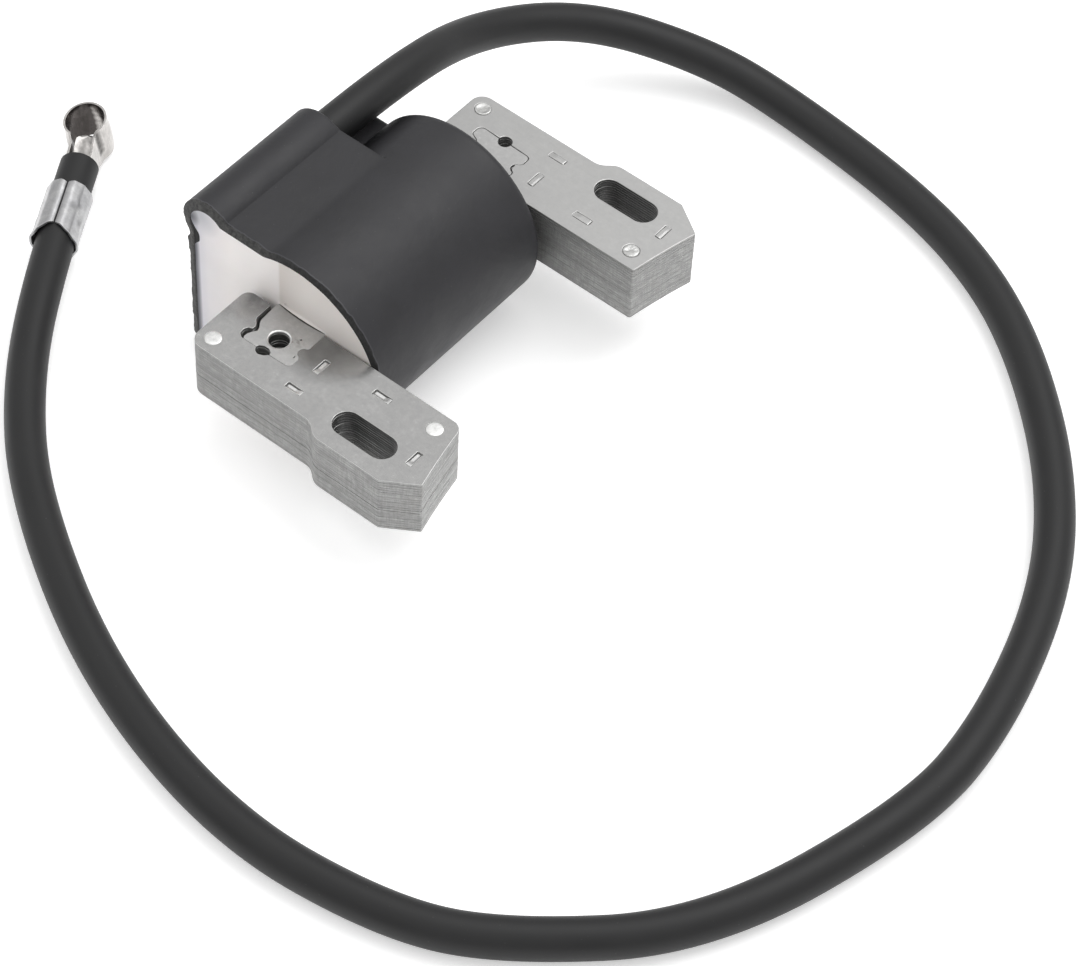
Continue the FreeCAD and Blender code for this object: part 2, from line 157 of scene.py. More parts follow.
# The camera's place is in the coil's drawing, and its turn in degrees about x, y and z.
# The floor, the lights and their aim are in metres.
CAMERA_LENS = 122.98
CAMERA_PLACE = (287.9, -327.8, 474.4)
CAMERA_TURN = (38.439, -2.2046, 39.0911)
FLOOR_HALF = 3
FLOOR_GLOW = 0.36
LIGHTS_AIM = Vector((0.02, 0, 0))
WORLD_LEVELS = ((0.0, 0.35), (0.22, 0.42), (0.55, 0.80), (0.85, 1.0))


def in_scene(name, data):
    """A new object in the scene."""
    obj = bpy.data.objects.new(name, data)
    bpy.context.scene.collection.objects.link(obj)
    return obj


def place_camera():
    """A long lens looking down over the near leg's tip side."""
    data = bpy.data.cameras.new("camera")
    data.lens = CAMERA_LENS
    data.sensor_width = 36
    data.clip_start = 0.01
    data.clip_end = 20
    camera = in_scene("camera", data)
    turn = Euler([math.radians(angle) for angle in CAMERA_TURN]).to_matrix()
    camera.matrix_world = Matrix.Translation(at(*CAMERA_PLACE)) @ turn.to_4x4()
    bpy.context.scene.camera = camera


def area_light(name, place, size, power):
    """A softbox that looks at the coil; its power is in watts."""
    data = bpy.data.lights.new(name, "AREA")
    data.shape = "RECTANGLE"
    data.size, data.size_y = size
    data.energy = power
    light = in_scene(name, data)
    light.location = place
    light.rotation_mode = "QUATERNION"
    light.rotation_quaternion = (LIGHTS_AIM - Vector(place)).to_track_quat("-Z", "Y")


def make_stage():
    """The floor, the world and the two softboxes."""
    h = FLOOR_HALF
    mesh = bpy.data.meshes.new("floor")
    mesh.from_pydata([(-h, -h, 0), (h, -h, 0), (h, h, 0), (-h, h, 0)], [], [(0, 1, 2, 3)])
    paper = {"Base Color": grey(0.93), "Roughness": 0.9}
    glow = {"Emission Color": grey(1), "Emission Strength": FLOOR_GLOW}
    mesh.materials.append(Finish("floor_paper", {**paper, **glow}).material)
    in_scene("floor", mesh)
    bpy.context.scene.world = studio_world()
    bpy.context.scene.view_settings.view_transform = "Standard"
    area_light("softbox_over", (0.17, 0.45, 1.05), (0.85, 0.85), 5.5)
    area_light("softbox_left", (-0.75, -0.45, 0.75), (0.5, 0.6), 0.7)


def studio_world():
    """Pale walls: bright overhead, dim near the level of the eye."""
    world = bpy.data.worlds.new("studio")
    world.use_nodes = True
    nodes, links = world.node_tree.nodes, world.node_tree.links
    parts = nodes.new("ShaderNodeSeparateXYZ")
    links.new(nodes.new("ShaderNodeTexCoord").outputs["Generated"], parts.inputs[0])
    ramp = nodes.new("ShaderNodeValToRGB")
    set_stops(ramp, WORLD_LEVELS)
    links.new(parts.outputs["Z"], ramp.inputs["Fac"])
    links.new(ramp.outputs["Color"], nodes["Background"].inputs["Color"])
    return world


# ---------- Finishes ----------

# The colour sockets of a mix node, which share their names with others
MIX_A, MIX_B, MIX_RESULT = 6, 7, 2


def grey(level):
    return (level, level, level)


def scaled(colour, factor):
    return tuple(factor * k for k in colour)


def set_stops(node, stops):
    """Gives a colour ramp its stops, each a position with a level or a colour."""
    elements = node.color_ramp.elements
    while len(elements) < len(stops):
        elements.new(1)
    for element, (position, level) in zip(elements, stops):
        element.position = position
        element.color = (*(level if isinstance(level, tuple) else grey(level)), 1)


class Finish:
    """A node material under construction, with short calls for the nodes that finishes share."""

    def __init__(self, name, sockets):
        self.material = bpy.data.materials.new(name)
        self.material.use_nodes = True
        self.nodes = self.material.node_tree.nodes
        self.shader = self.nodes["Principled BSDF"]
        self.place = self.nodes.new("ShaderNodeTexCoord").outputs["Object"]
        for socket, value in {"Base Color": grey(0.5), **sockets}.items():
            self.feed(self.shader.inputs[socket], value)

    def feed(self, socket, value):
        """Links a node's output to a socket, or gives the socket a plain value."""
        if isinstance(value, bpy.types.NodeSocket):
            self.material.node_tree.links.new(value, socket)
        else:
            socket.default_value = (*value, 1) if socket.type == "RGBA" else value

    def node(self, kind, feeds, **settings):
        """A new node with its settings, and its sockets fed by name or number."""
        node = self.nodes.new(kind)
        for setting, value in settings.items():
            setattr(node, setting, value)
        for socket, value in feeds.items():
            self.feed(node.inputs[socket], value)
        return node

    def noise(self, size, detail=4, roughness=0.55, stretch=(1, 1, 1)):
        """Noise whose features are about size mm across, longer by stretch along each axis."""
        scale = [1 / (size * MM * s) for s in stretch]
        mapping = self.node("ShaderNodeMapping", {"Vector": self.place, "Scale": scale})
        feeds = {"Vector": mapping.outputs[0], "Scale": 1, "Detail": detail, "Roughness": roughness}
        return self.node("ShaderNodeTexNoise", feeds).outputs["Fac"]

    def ramp(self, value, *stops):
        """Maps a value through stops, each a position with a level or a colour."""
        node = self.node("ShaderNodeValToRGB", {"Fac": value})
        set_stops(node, stops)
        return node.outputs["Color"]

    def blend(self, value, a, b):
        """From a to b over the range where most of a noise lies."""
        return self.ramp(value, (0.3, a), (0.7, b))

    def mix(self, factor, under, over):
        feeds = {0: factor, MIX_A: under, MIX_B: over}
        return self.node("ShaderNodeMix", feeds, data_type="RGBA").outputs[MIX_RESULT]

    def lay(self, under, over, value, *stops):
        """Lays one colour over another, as much as the value says when mapped through stops."""
        return self.mix(self.ramp(value, *stops), under, over)

    def maths(self, operation, a, b):
        return self.node("ShaderNodeMath", {0: a, 1: b}, operation=operation).outputs[0]

    def times(self, a, b):
        return self.maths("MULTIPLY", a, b)

    def along(self, axis, start, length):
        """How far a place is along an axis of the drawing: 0 at start, 1 a length further, in mm."""
        place = self.node("ShaderNodeSeparateXYZ", {0: self.place}).outputs[axis]
        start = at(start, start, start)["XYZ".index(axis)]
        return self.times(self.maths("SUBTRACT", place, start), 1 / (length * MM))

    def spot(self, place, radius, sharpness):
        """1 at a place, falling to 0 at the radius in mm; a higher sharpness keeps it full for longer."""
        feeds = {0: self.place, 1: place}
        away = self.node("ShaderNodeVectorMath", feeds, operation="DISTANCE").outputs["Value"]
        full = min(0.95, sharpness / (1 + sharpness))
        return self.ramp(self.times(away, 1 / (radius * MM)), (full * 0.6, 1.0), (1.0, 0.0))

    def mark(self, under, over, place, radius, sharpness, cover=1.0):
        """Lays a spot of one colour over another; cover breaks the spot up."""
        return self.mix(self.times(self.spot(place, radius, sharpness), cover), under, over)

    def done(self, colour, roughness, *layers):
        """The material, with bump from (height, depth in mm, strength) layers, one over another."""
        self.feed(self.shader.inputs["Base Color"], colour)
        self.feed(self.shader.inputs["Roughness"], roughness)
        below = {}
        for height, depth, strength in layers:
            feeds = {"Height": height, "Distance": depth * MM, "Strength": strength, **below}
            below = {"Normal": self.node("ShaderNodeBump", feeds).outputs["Normal"]}
        self.feed(self.shader.inputs["Normal"], below["Normal"])
        return self.material


def lamination_face(name, roughness, tone, mottle=1.0, overlay=None):
    """Rolled electrical steel: pale grey oxide, fine rolling grain, specks and, on some faces, an overlay
    of marks with painted shade and reflection.
    """
    f = Finish(name, {"Metallic": 0.8})
    blotch = f.noise(7, detail=6, roughness=0.6)
    grain = f.noise(0.5, detail=3, stretch=(14, 1, 1))
    grit = f.noise(0.9, detail=5, roughness=0.7)
    light = scaled((1.0, 0.995, 0.98), tone)
    colour = f.blend(blotch, scaled(light, 1 - 0.2 * mottle), light)
    colour = f.lay(colour, grey(tone * 0.8), grain, (0.35, 0.22), (0.75, 0.0))
    colour = f.lay(colour, grey(tone * 0.74), grit, (0.35, 0.5 * mottle), (0.55, 0.0))
    colour = f.lay(colour, grey(tone * 1.25), grit, (0.58, 0.0), (0.75, 0.5 * mottle))
    colour = f.lay(colour, (0.20, 0.195, 0.19), f.noise(0.35, detail=2), (0.72, 0.0), (0.82, 0.5))
    if overlay:
        colour = overlay(f, colour)
    fine = (f.noise(0.25, detail=2), 0.006, 0.3)
    wavy = (f.noise(6, detail=1), 0.05, 0.3)
    rough = f.blend(blotch, roughness + 0.05, roughness - 0.03)
    return f.done(colour, rough, (grain, 0.008, 0.3), fine, wavy)


def near_face_marks_and_reflection(f, colour):
    """A dark mottled patch on the ear, a dark patch beside the housing that is a painted reflection of it,
    and a scuff.
    """
    cloud = f.noise(1.6)
    ear_patch = f.ramp(cloud, (0.25, 0.45), (0.6, 0.95))
    colour = f.mark(colour, (0.185, 0.185, 0.183), at(3.3, -24.4, 0), 4.2, 1.5, ear_patch)
    # Painted reflection: the black housing's dark reflection in the steel beside it.
    painted_reflection = f.ramp(cloud, (0.3, 0.8), (0.6, 1.0))
    colour = f.mark(colour, (0.20, 0.20, 0.197), at(19.0, -25.8, 0), 7.6, 1.3, painted_reflection)
    scuff = f.ramp(cloud, (0.4, 0.0), (0.6, 0.7))
    return f.mark(colour, (0.33, 0.32, 0.31), at(3.0, -28.6, 0), 1.6, 0.4, scuff)


def bar_face_stain_and_shade(f, colour):
    """A stain, and painted shade: a dark line on the bar along the resin's bowed edge, which is 0.8 mm wide
    in all.
    """
    smear = f.ramp(f.noise(0.6, detail=3), (0.45, 0.0), (0.6, 0.6))
    colour = f.mark(colour, (0.20, 0.19, 0.18), at(14.4, -27.0, 0), 1.5, 0.3, smear)
    # Painted shade where the resin's nose meets the bar.
    across = f.along("X", 11.5, 5.4)
    bow = f.times(f.times(across, across), 0.6)
    reach = f.maths("SUBTRACT", bow, f.along("Y", -22.55, 0.8))
    return f.lay(colour, (0.07, 0.068, 0.065), reach, (0.0, 0.0), (0.1, 1.0), (0.66, 0.9), (0.9, 0.0))


def sheared_edge(name, light):
    """Sheared sheet edges: each sheet its own grey, with fine upright tool lines."""
    f = Finish(name, {"Metallic": 0.75})
    sheet = f.noise(PITCH * 1.3, detail=1, stretch=(40, 40, 1))
    tool = f.noise(0.32, detail=3, stretch=(1, 1, 9))
    tear = f.noise(0.25, detail=3, stretch=(7, 7, 0.7))
    greys = [scaled((1.0, 1.0, 0.985), light * level) for level in (0.31, 0.42, 0.24, 0.20)]
    tone = f.ramp(sheet, (0.35, greys[0]), (0.65, greys[1]))
    tone = f.lay(tone, greys[2], tool, (0.40, 0.50), (0.60, 0.0))
    tone = f.lay(tone, greys[3], tear, (0.38, 0.55), (0.58, 0.0))
    tone = f.lay(tone, (0.28, 0.265, 0.245), f.noise(5, detail=5), (0.55, 0.0), (0.78, 0.25))
    return f.done(tone, f.blend(tear, 0.55, 0.42), (tool, 0.02, 0.5), (tear, 0.02, 0.4))


def rivet_steel(name, dark, light, roughness):
    """Peened rivet steel, a little smeared."""
    f = Finish(name, {"Metallic": 0.9})
    smear = f.noise(0.7)
    tone = f.blend(smear, (dark, dark, dark - 0.01), (light, light, light - 0.01))
    rough = f.blend(smear, roughness + 0.08, roughness - 0.08)
    return f.done(tone, rough, (f.noise(0.3, detail=3), 0.02, 0.5))


def dusty(f, tone, dust_tone, size):
    """A tone with sparse specks of dust."""
    dust = f.noise(size, detail=1, roughness=0.4)
    return f.lay(tone, grey(dust_tone), dust, (0.76, 0.0), (0.84, 0.35))


def housing_plastic(name, shade, roughness, overlay=None):
    """Soft matt black moulding: fine grain, slow sink marks, faint flow tone and a little dust."""
    f = Finish(name, {"Specular IOR Level": 0.45})
    flow = f.noise(8)
    tone = f.blend(flow, scaled((0.0185, 0.0182, 0.0205), shade), scaled((0.0245, 0.0242, 0.0275), shade))
    if overlay:
        tone = overlay(f, tone)
    rough = f.blend(flow, roughness - 0.06, roughness + 0.07)
    grain = (f.noise(0.16, detail=2), 0.015, 0.3)
    sink = (f.noise(7, detail=3), 0.45, 0.5)
    return f.done(dusty(f, tone, 0.10, 0.45), rough, grain, (f.noise(2.5), 0.10, 0.5), sink)


def painted_step_shade(f, tone):
    """Painted shade: a dark, dull band along the step past the tower's end, where the round side faces away
    from the light.
    """
    across = f.along("X", -6.2, 9.2)
    turned = f.ramp(across, (0.0, 0.0), (0.06, 0.0), (0.16, 0.95), (0.5, 0.85), (1.0, 0.0))
    past = f.along("Y", TOWER_END_Y, 14)
    step_shade_amount = f.times(turned, f.ramp(past, (0.0, 0.0), (0.03, 1.0), (0.86, 1.0), (0.94, 0.0)))
    f.feed(f.shader.inputs["Specular IOR Level"], f.ramp(step_shade_amount, (0.0, 0.45), (1.0, 0.08)))
    return f.mix(step_shade_amount, tone, (0.003, 0.003, 0.0035))


def housing_rim(name):
    """The trimmed rim, scraped and torn: paler beside the tower and dark round the back, which is painted
    light and painted shade.
    """
    f = Finish(name, {"Specular IOR Level": 0.4})
    scrape = f.noise(0.7, detail=5, roughness=0.65)
    pale = f.ramp(scrape, (0.35, grey(0.022)), (0.68, (0.075, 0.074, 0.072)))
    dark = f.ramp(scrape, (0.35, 0.007), (0.75, 0.030))
    # Painted light and shade: the pale tone beside the tower fades into the dark one round the back.
    tone = f.lay(pale, dark, f.along("X", 2.0, 6), (0.0, 0.0), (1.0, 1.0))
    return f.done(tone, 0.62, (scrape, 0.15, 0.6), (f.noise(0.2, detail=2), 0.04, 0.5))


def resin(name):
    """Cast resin: off-white, cool in the wall's shade, greyer and beige to the right of the bar's edge."""
    f = Finish(name, {"Subsurface Weight": 0.05, "Subsurface Scale": 0.002})
    cloud = f.noise(6, detail=5)
    ramp_up = (0.0, 0.0), (1.0, 1.0)
    left = f.blend(cloud, (0.955, 0.905, 0.885), (0.915, 0.87, 0.85))
    right = f.lay((0.74, 0.69, 0.65), (0.84, 0.79, 0.755), f.along("X", 6.15, 6.0), *ramp_up)
    tone = f.lay(left, right, f.along("X", 6.15, 0.5), *ramp_up)
    # Painted shade: cooler and darker towards the left wall.
    cool = f.along("X", -13.0, 8.0)
    tone = f.lay(tone, (0.60, 0.60, 0.68), cool, (0.0, 0.85), (0.35, 0.35), (1.0, 0.0))
    # Painted shade under the tower's top, and a painted shadow: the dark crescent by the tower's inner
    # wall.
    tone = f.mark(tone, (0.52, 0.52, 0.55), at(-11.6, RESIN_Y, 9.6), 5.0, 0.2)
    tone = f.mark(tone, (0.14, 0.14, 0.155), at(-13.6, RESIN_Y, 8.0), 2.2, 0.2)
    # Painted shade in a band along the left wall, strongest low down.
    shade = f.ramp(f.along("X", -13.0, 1.1), (0.0, 1.0), (0.45, 0.75), (1.0, 0.0))
    below = f.ramp(f.along("Z", 1.5, 3), (0.0, 1.0), (1.0, 0.3))
    tone = f.mix(f.times(shade, below), tone, (0.085, 0.085, 0.105))
    smudge = f.ramp(f.noise(0.5, detail=3), (0.4, 0.0), (0.6, 0.5))
    tone = f.mark(tone, (0.30, 0.29, 0.28), at(7.6, RESIN_Y, 0.8), 0.9, 0.1, smudge)
    return f.done(tone, f.blend(cloud, 0.30, 0.42), (f.noise(1.4), 0.03, 0.3))


def lead_rubber(name):
    """The lead's jacket: matt black rubber with a fine skin and sparse dust."""
    f = Finish(name, {"Specular IOR Level": 0.38})
    patch = f.noise(14)
    tone = dusty(f, f.blend(patch, (0.0105, 0.0105, 0.011), (0.015, 0.015, 0.0155)), 0.08, 0.5)
    skin = (f.noise(0.3, detail=3), 0.015, 0.3)
    return f.done(tone, f.blend(patch, 0.48, 0.58), skin, (f.noise(9, detail=3), 0.2, 0.3))


def ferrule_zinc(name):
    """Dull zinc plate with a grey bloom and bright rubbed streaks along the sleeve."""
    f = Finish(name, {"Metallic": 0.9})
    bloom = f.noise(2.2, detail=5)
    rub = f.noise(0.4, detail=3)
    tone = f.blend(bloom, (0.40, 0.40, 0.41), grey(0.60))
    tone = f.lay(tone, (0.34, 0.34, 0.35), rub, (0.35, 0.3), (0.65, 0.0))
    return f.done(tone, f.blend(rub, 0.46, 0.32), (bloom, 0.06, 0.35), (rub, 0.012, 0.4))


def clip_sheet(name, light, dark, roughness, warmth=(1.0, 0.965, 0.935), overlay=None):
    """Nickelled spring sheet with a haze and fine upright drawing lines."""
    f = Finish(name, {"Metallic": 1.0})
    haze = f.noise(1.5)
    tone = f.blend(haze, scaled(warmth, dark), scaled(warmth, light))
    draw = f.noise(0.5, detail=3, stretch=(1, 1, 8))
    tone = f.lay(tone, scaled(warmth, dark * 0.6), draw, (0.35, 0.35), (0.6, 0.0))
    if overlay:
        tone = overlay(f, tone)
    rough = f.blend(haze, roughness - 0.03, roughness + 0.06)
    return f.done(tone, rough, (f.noise(0.8, detail=2), 0.012, 0.3))


def column_of_painted_spots(f, tone, over, x, y, heights, sharpness):
    """Painted spots one above another on the clip, which run together into a line."""
    for height in heights:
        place = at_lead_end(CLIP_ROLL) @ Vector((x, y, height))
        tone = f.mark(tone, over, place * MM, 1.1, sharpness)
    return tone


def dark_fold(f, tone):
    """The shadowed fold where the lower leg turns into the barrel."""
    return column_of_painted_spots(f, tone, (0.07, 0.066, 0.062), 4.9, -3.0, (2.9, 2.0, 1.0, 0.0, -1.2), 1.8)


def painted_highlight_band(f, tone):
    """A painted highlight: a bright upright band on the barrel's inside wall."""
    return column_of_painted_spots(f, tone, (0.80, 0.77, 0.74), 11.85, -0.7, (3.2, 1.8, 0.4, -1.0, -2.2), 1.2)


def speckled(name, dark, light, size, roughness, metallic=0.0):
    """A plain finish for a piece that is sealed inside: two tones, and a little grain."""
    f = Finish(name, {"Metallic": metallic})
    grain = f.noise(size, detail=3)
    return f.done(f.blend(grain, dark, light), roughness, (grain, 0.02, 0.4))


FINISHES = {
    "lamination_steel": (lamination_face, 0.4, 0.45),
    "near_face": (lamination_face, 0.21, 0.455, 1.0, near_face_marks_and_reflection),
    "far_face": (lamination_face, 0.38, 0.45, 0.45),
    # A lighter copy of the face steel for the top sheet's rolled edges: a painted highlight along them.
    "burr": (lamination_face, 0.35, 0.54),
    # A much lighter copy of the face steel for the near leg's pressed tabs: a painted highlight on their
    # ramps.
    "near_tab": (lamination_face, 0.33, 0.74),
    "bar_face": (lamination_face, 0.30, 0.52, 1.0, bar_face_stain_and_shade),
    "sheared_edge": (sheared_edge, 1.0),
    # A darker copy of the sheared edge for the walls of the slot and of the bar's hole: painted shade
    # inside them.
    "slot_wall": (sheared_edge, 0.45),
    "rivet_steel": (rivet_steel, 0.62, 0.86, 0.34),
    "rivet_worn": (rivet_steel, 0.40, 0.66, 0.46),
    "housing_plastic": (housing_plastic, 1.0, 0.54, painted_step_shade),
    # A twice as light copy of the plastic for the rim's proud outer edge: a painted highlight along it.
    "housing_flash_painted_highlight": (housing_plastic, 2.0, 0.5),
    "housing_shade": (housing_plastic, 0.35, 0.7),
    "housing_rim": (housing_rim,),
    "potting_resin": (resin,),
    "lead_rubber": (lead_rubber,),
    "ferrule_zinc": (ferrule_zinc,),
    "clip_nickel": (clip_sheet, 0.60, 0.48, 0.17, (1.0, 0.965, 0.935), dark_fold),
    # A much darker, warmer copy of the nickel for the barrel's inside: painted shade, with the painted
    # highlight band on it.
    "clip_inside": (clip_sheet, 0.17, 0.11, 0.24, (1.0, 0.91, 0.87), painted_highlight_band),
    "clip_floor": (clip_sheet, 0.62, 0.30, 0.30),
    "bobbin_plastic": (speckled, (0.30, 0.28, 0.25), (0.38, 0.36, 0.32), 1.5, 0.5),
    "magnet_wire": (speckled, (0.42, 0.16, 0.06), (0.60, 0.26, 0.10), 0.3, 0.3, 0.9),
    "insulating_film": (speckled, (0.62, 0.46, 0.14), (0.75, 0.6, 0.25), 4, 0.3),
    "board_laminate": (speckled, (0.06, 0.18, 0.07), (0.09, 0.26, 0.10), 0.5, 0.35),
    "component_case": (speckled, 0.03, 0.05, 0.5, 0.5),
    "tinned_wire": (speckled, (0.6, 0.58, 0.55), (0.75, 0.73, 0.7), 0.5, 0.3, 1.0),
    "contact_brass": (speckled, (0.6, 0.42, 0.18), (0.72, 0.55, 0.26), 0.6, 0.3, 1.0),
    "seal_rubber": (speckled, 0.03, 0.045, 0.6, 0.6),
}
MADE = {}


def finish_of(slot):
    """The material of a slot, made the first time that it is asked for."""
    if slot not in MADE:
        make, *values = FINISHES[slot]
        MADE[slot] = make(slot, *values)
    return MADE[slot]


def dress_frame():
    """Gives every CAD piece the finish of its slot."""
    for entry in frame["record"]["subparts"]:
        materials = frame["nodes"][entry["node"]].data.materials
        materials.clear()
        materials.append(finish_of(entry["material_slot"]))


# ---------- Mesh helpers ----------

class Outline:
    """A closed outline of corners, each sharp or rounded to a radius, and of arcs."""

    def __init__(self):
        self.corners = []

    def to(self, x, y, radius=0.0):
        self.corners.append((x, y, radius))
        return self

    def through(self, *corners):
        for corner in corners:
            self.to(*corner)
        return self

    def arc(self, x, y, radius, start, end, steps=10):
        """Corners along an arc round (x, y), between two angles in degrees."""
        for i in range(steps + 1):
            self.to(*polar((x, y), radius, math.radians(start + (end - start) * i / steps)))
        return self

    def points(self, side=1):
        """The outline as points, mirrored in y where side is -1."""
        out = []
        count = len(self.corners)
        for i, (x, y, radius) in enumerate(self.corners):
            here = Vector((x, y))
            if not radius:
                out.append(here)
                continue
            back = (Vector(self.corners[i - 1][:2]) - here).normalized()
            ahead = (Vector(self.corners[(i + 1) % count][:2]) - here).normalized()
            half = back.angle(ahead) / 2
            centre = here + (back + ahead).normalized() * (radius / math.sin(half))
            start = here + back * (radius / math.tan(half))
            end = here + ahead * (radius / math.tan(half))
            sweep = (start - centre).angle_signed(end - centre)
            steps = max(2, int(abs(sweep) / 0.2))
            for j in range(steps + 1):
                out.append(centre + Matrix.Rotation(-sweep * j / steps, 2) @ (start - centre))
        return [(p.x, side * p.y) for p in out]


def plate_mesh(name, loops, thickness, edge):
    """A flat plate in the XY plane, its middle at z 0, from an outline and its holes, in mm."""
    curve = bpy.data.curves.new(name, "CURVE")
    curve.dimensions = "2D"
    curve.fill_mode = "BOTH"
    curve.extrude = thickness / 2 - edge
    curve.bevel_depth = edge
    curve.bevel_resolution = 2 if edge > 0.1 else 1
    curve.offset = -edge
    for loop in loops:
        spline = curve.splines.new("POLY")
        spline.points.add(len(loop) - 1)
        for point, (x, y) in zip(spline.points, loop):
            point.co = (x, y, 0, 1)
        spline.use_cyclic_u = True
    holder = in_scene(name, curve)
    bpy.context.view_layer.update()
    mesh = bpy.data.meshes.new_from_object(holder.evaluated_get(bpy.context.evaluated_depsgraph_get()))
    bpy.data.objects.remove(holder)
    bpy.data.curves.remove(curve)
    return mesh


def piece(name, bm, finishes, sharp=30, in_drawing=True, flat_level=False):
    """A finished object from a mesh under construction, in mm in the drawing or in the frame."""
    bmesh.ops.recalc_face_normals(bm, faces=bm.faces)
    origin = DATUM if in_drawing else Vector((0, 0, 0))
    bm.transform(Matrix.Translation(origin) @ Matrix.Scale(MM, 4))
    mesh = bpy.data.meshes.new(name)
    bm.to_mesh(mesh)
    bm.free()
    for finish in finishes:
        mesh.materials.append(finish_of(finish))
    mesh.shade_smooth()
    mesh.set_sharp_from_angle(angle=math.radians(sharp))
    if flat_level:
        for polygon in mesh.polygons:
            polygon.use_smooth = abs(polygon.normal.z) < 0.995
    return in_scene(name, mesh)


def settle(obj, slot, *nodes):
    """The piece rides with the coil, and stands for the nodes named, if any; its slot is not used."""
    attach(obj, "root")
    if nodes:
        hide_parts(*nodes)
    return obj


BEVEL_ANGLE = math.radians(40)


def bevel(obj, width, segments):
    """Soft edges on a sheet-metal piece."""
    modifier = obj.modifiers.new("soft_edges", "BEVEL")
    modifier.width = width * MM
    modifier.segments = segments
    modifier.limit_method = "ANGLE"
    modifier.angle_limit = BEVEL_ANGLE
    modifier.use_clamp_overlap = True


def skin_band(bm, a, b):
    """The faces between two closed rings of vertices."""
    faces = []
    for i in range(len(a)):
        j = (i + 1) % len(a)
        faces.append(bm.faces.new((a[i], a[j], b[j], b[i])))
    return faces


def skin_rings(bm, rings, paint=None):
    """Joins rings of places into a closed tube; paint gives the band after a ring its material."""
    made = [[bm.verts.new(place) for place in ring] for ring in rings]
    for k, (a, b) in enumerate(zip(made, made[1:])):
        for face in skin_band(bm, a, b):
            face.material_index = (paint or {}).get(k, 0)
    bm.faces.new(made[0])
    bm.faces.new(reversed(made[-1]))


def skin_grid(bm, rows, material):
    """The faces between rows of vertices."""
    for a, b in zip(rows, rows[1:]):
        for i in range(len(a) - 1):
            bm.faces.new((a[i], a[i + 1], b[i + 1], b[i])).material_index = material


def skin_sheet(bm, top, low, top_material=0):
    """Closes two matching grids of vertices into a sheet with thickness."""
    skin_grid(bm, top, top_material)
    skin_grid(bm, low, 0)
    for k in (0, -1):
        skin_grid(bm, (top[k], low[k]), 0)
        skin_grid(bm, ([row[k] for row in top], [row[k] for row in low]), 0)


def spread(a, b, steps):
    """Places from a to b, with a and without b."""
    return [a + (b - a) * i / steps for i in range(steps)]


def smooth_step(t):
    """0 up to 0, 1 from 1 on, and an S-curve between them."""
    t = min(1.0, max(0.0, t))
    return t * t * (3 - 2 * t)


def polar(centre, radius, angle):
    """The place at an angle round a centre."""
    return Vector((centre[0] + radius * math.cos(angle), centre[1] + radius * math.sin(angle)))


def circle(x, y, radius, steps=36):
    return [tuple(polar((x, y), radius, TAU * i / steps)) for i in range(steps)]


# ---------- Laminations ----------

FACE, EDGE, HOLE_WALL, PRESSED, BURR = range(5)
GAP = {"near": 0.015, "far": 0.085}
HEAD_END = {"near": 32.33, "far": HEAD_Y[1]}
OUTER_EDGE = {"near_leg": 0.09, "far_leg": 0.16, "bar": 0.05}
INNER_EDGE = 0.045
SHEET_GAPS = (0.012, 0.015, 0.02, 0.03, 0.06)
SHEET_DRIFT = 0.016
HOLE_ROLL = 0.30
TAB_DROP = {"near": -0.36, "far": 0.08}
TAB_CRACK = 0.07
TAB_SHARES = (0.0, 0.05, 0.2, 0.35, 0.5, 0.62, 0.72, 0.8, 0.87, 0.94, 1.0)
TAB_STEPS = 20


def flywheel_arc(outline):
    """The leg's end, hollowed to the flywheel's radius, from the inner tip to the chamfer."""
    radius = math.hypot(FLYWHEEL_X - LEG_LENGTH, TIP_OUTER)
    for i in range(1, 8):
        v = LEG_INNER + (TIP_OUTER - LEG_INNER) * i / 8
        outline.to(FLYWHEEL_X - math.sqrt(radius ** 2 - v ** 2), v)


def shoulder(outline):
    """The S-curve where the leg narrows behind its slot."""
    low, high = SHOULDER_X
    for i in range(17):
        t = i / 16
        along = high + (low - high) * (1.5 * t * (1 - t) + t ** 3)
        outline.to(along, LEG_OUTER + (LEG_NARROW - LEG_OUTER) * smooth_step(t))


def near_pocket(outline):
    """The near leg's pocket: an open gap beside the bar that ends in a hook, and half a hole."""
    end = HEAD_END["near"] + 0.02
    outline.through((5.42, EAR_INNER, 0.3), (5.49, 27.3, 0.5), (5.79, 27.93, 0.4), (6.29, 28.39, 0.3),
                    (6.62, 29.0, 0.3), (6.60, 29.75, 0.25), (5.87, 30.01, 0.4), (5.50, 30.74, 0.5),
                    (5.65, 31.8, 0.4), (6.40, end), (9.74, end), (10.02, 33.0, 0.4),
                    (10.85, 33.38, 0.6), (11.95, 32.95, 0.6), (12.48, end))


def far_pocket(outline):
    """The far leg's pocket, close all round the bar's head, with half a hole."""
    gap = GAP["far"]
    outline.to(BAR_X[0] - gap, EAR_INNER, 0.2)
    outline.arc(BAR_X[0], WAIST_Y, WAIST_R - gap, -80, 75)
    outline.to(HEAD_X[0] - gap, HEAD_Y[0], 0.5)
    outline.to(HEAD_X[0] - gap, HEAD_Y[1] + gap + 0.15, 1.1)
    x, y, radius = JOINT_HOLE
    outline.arc(x, y, radius, 176, 4)


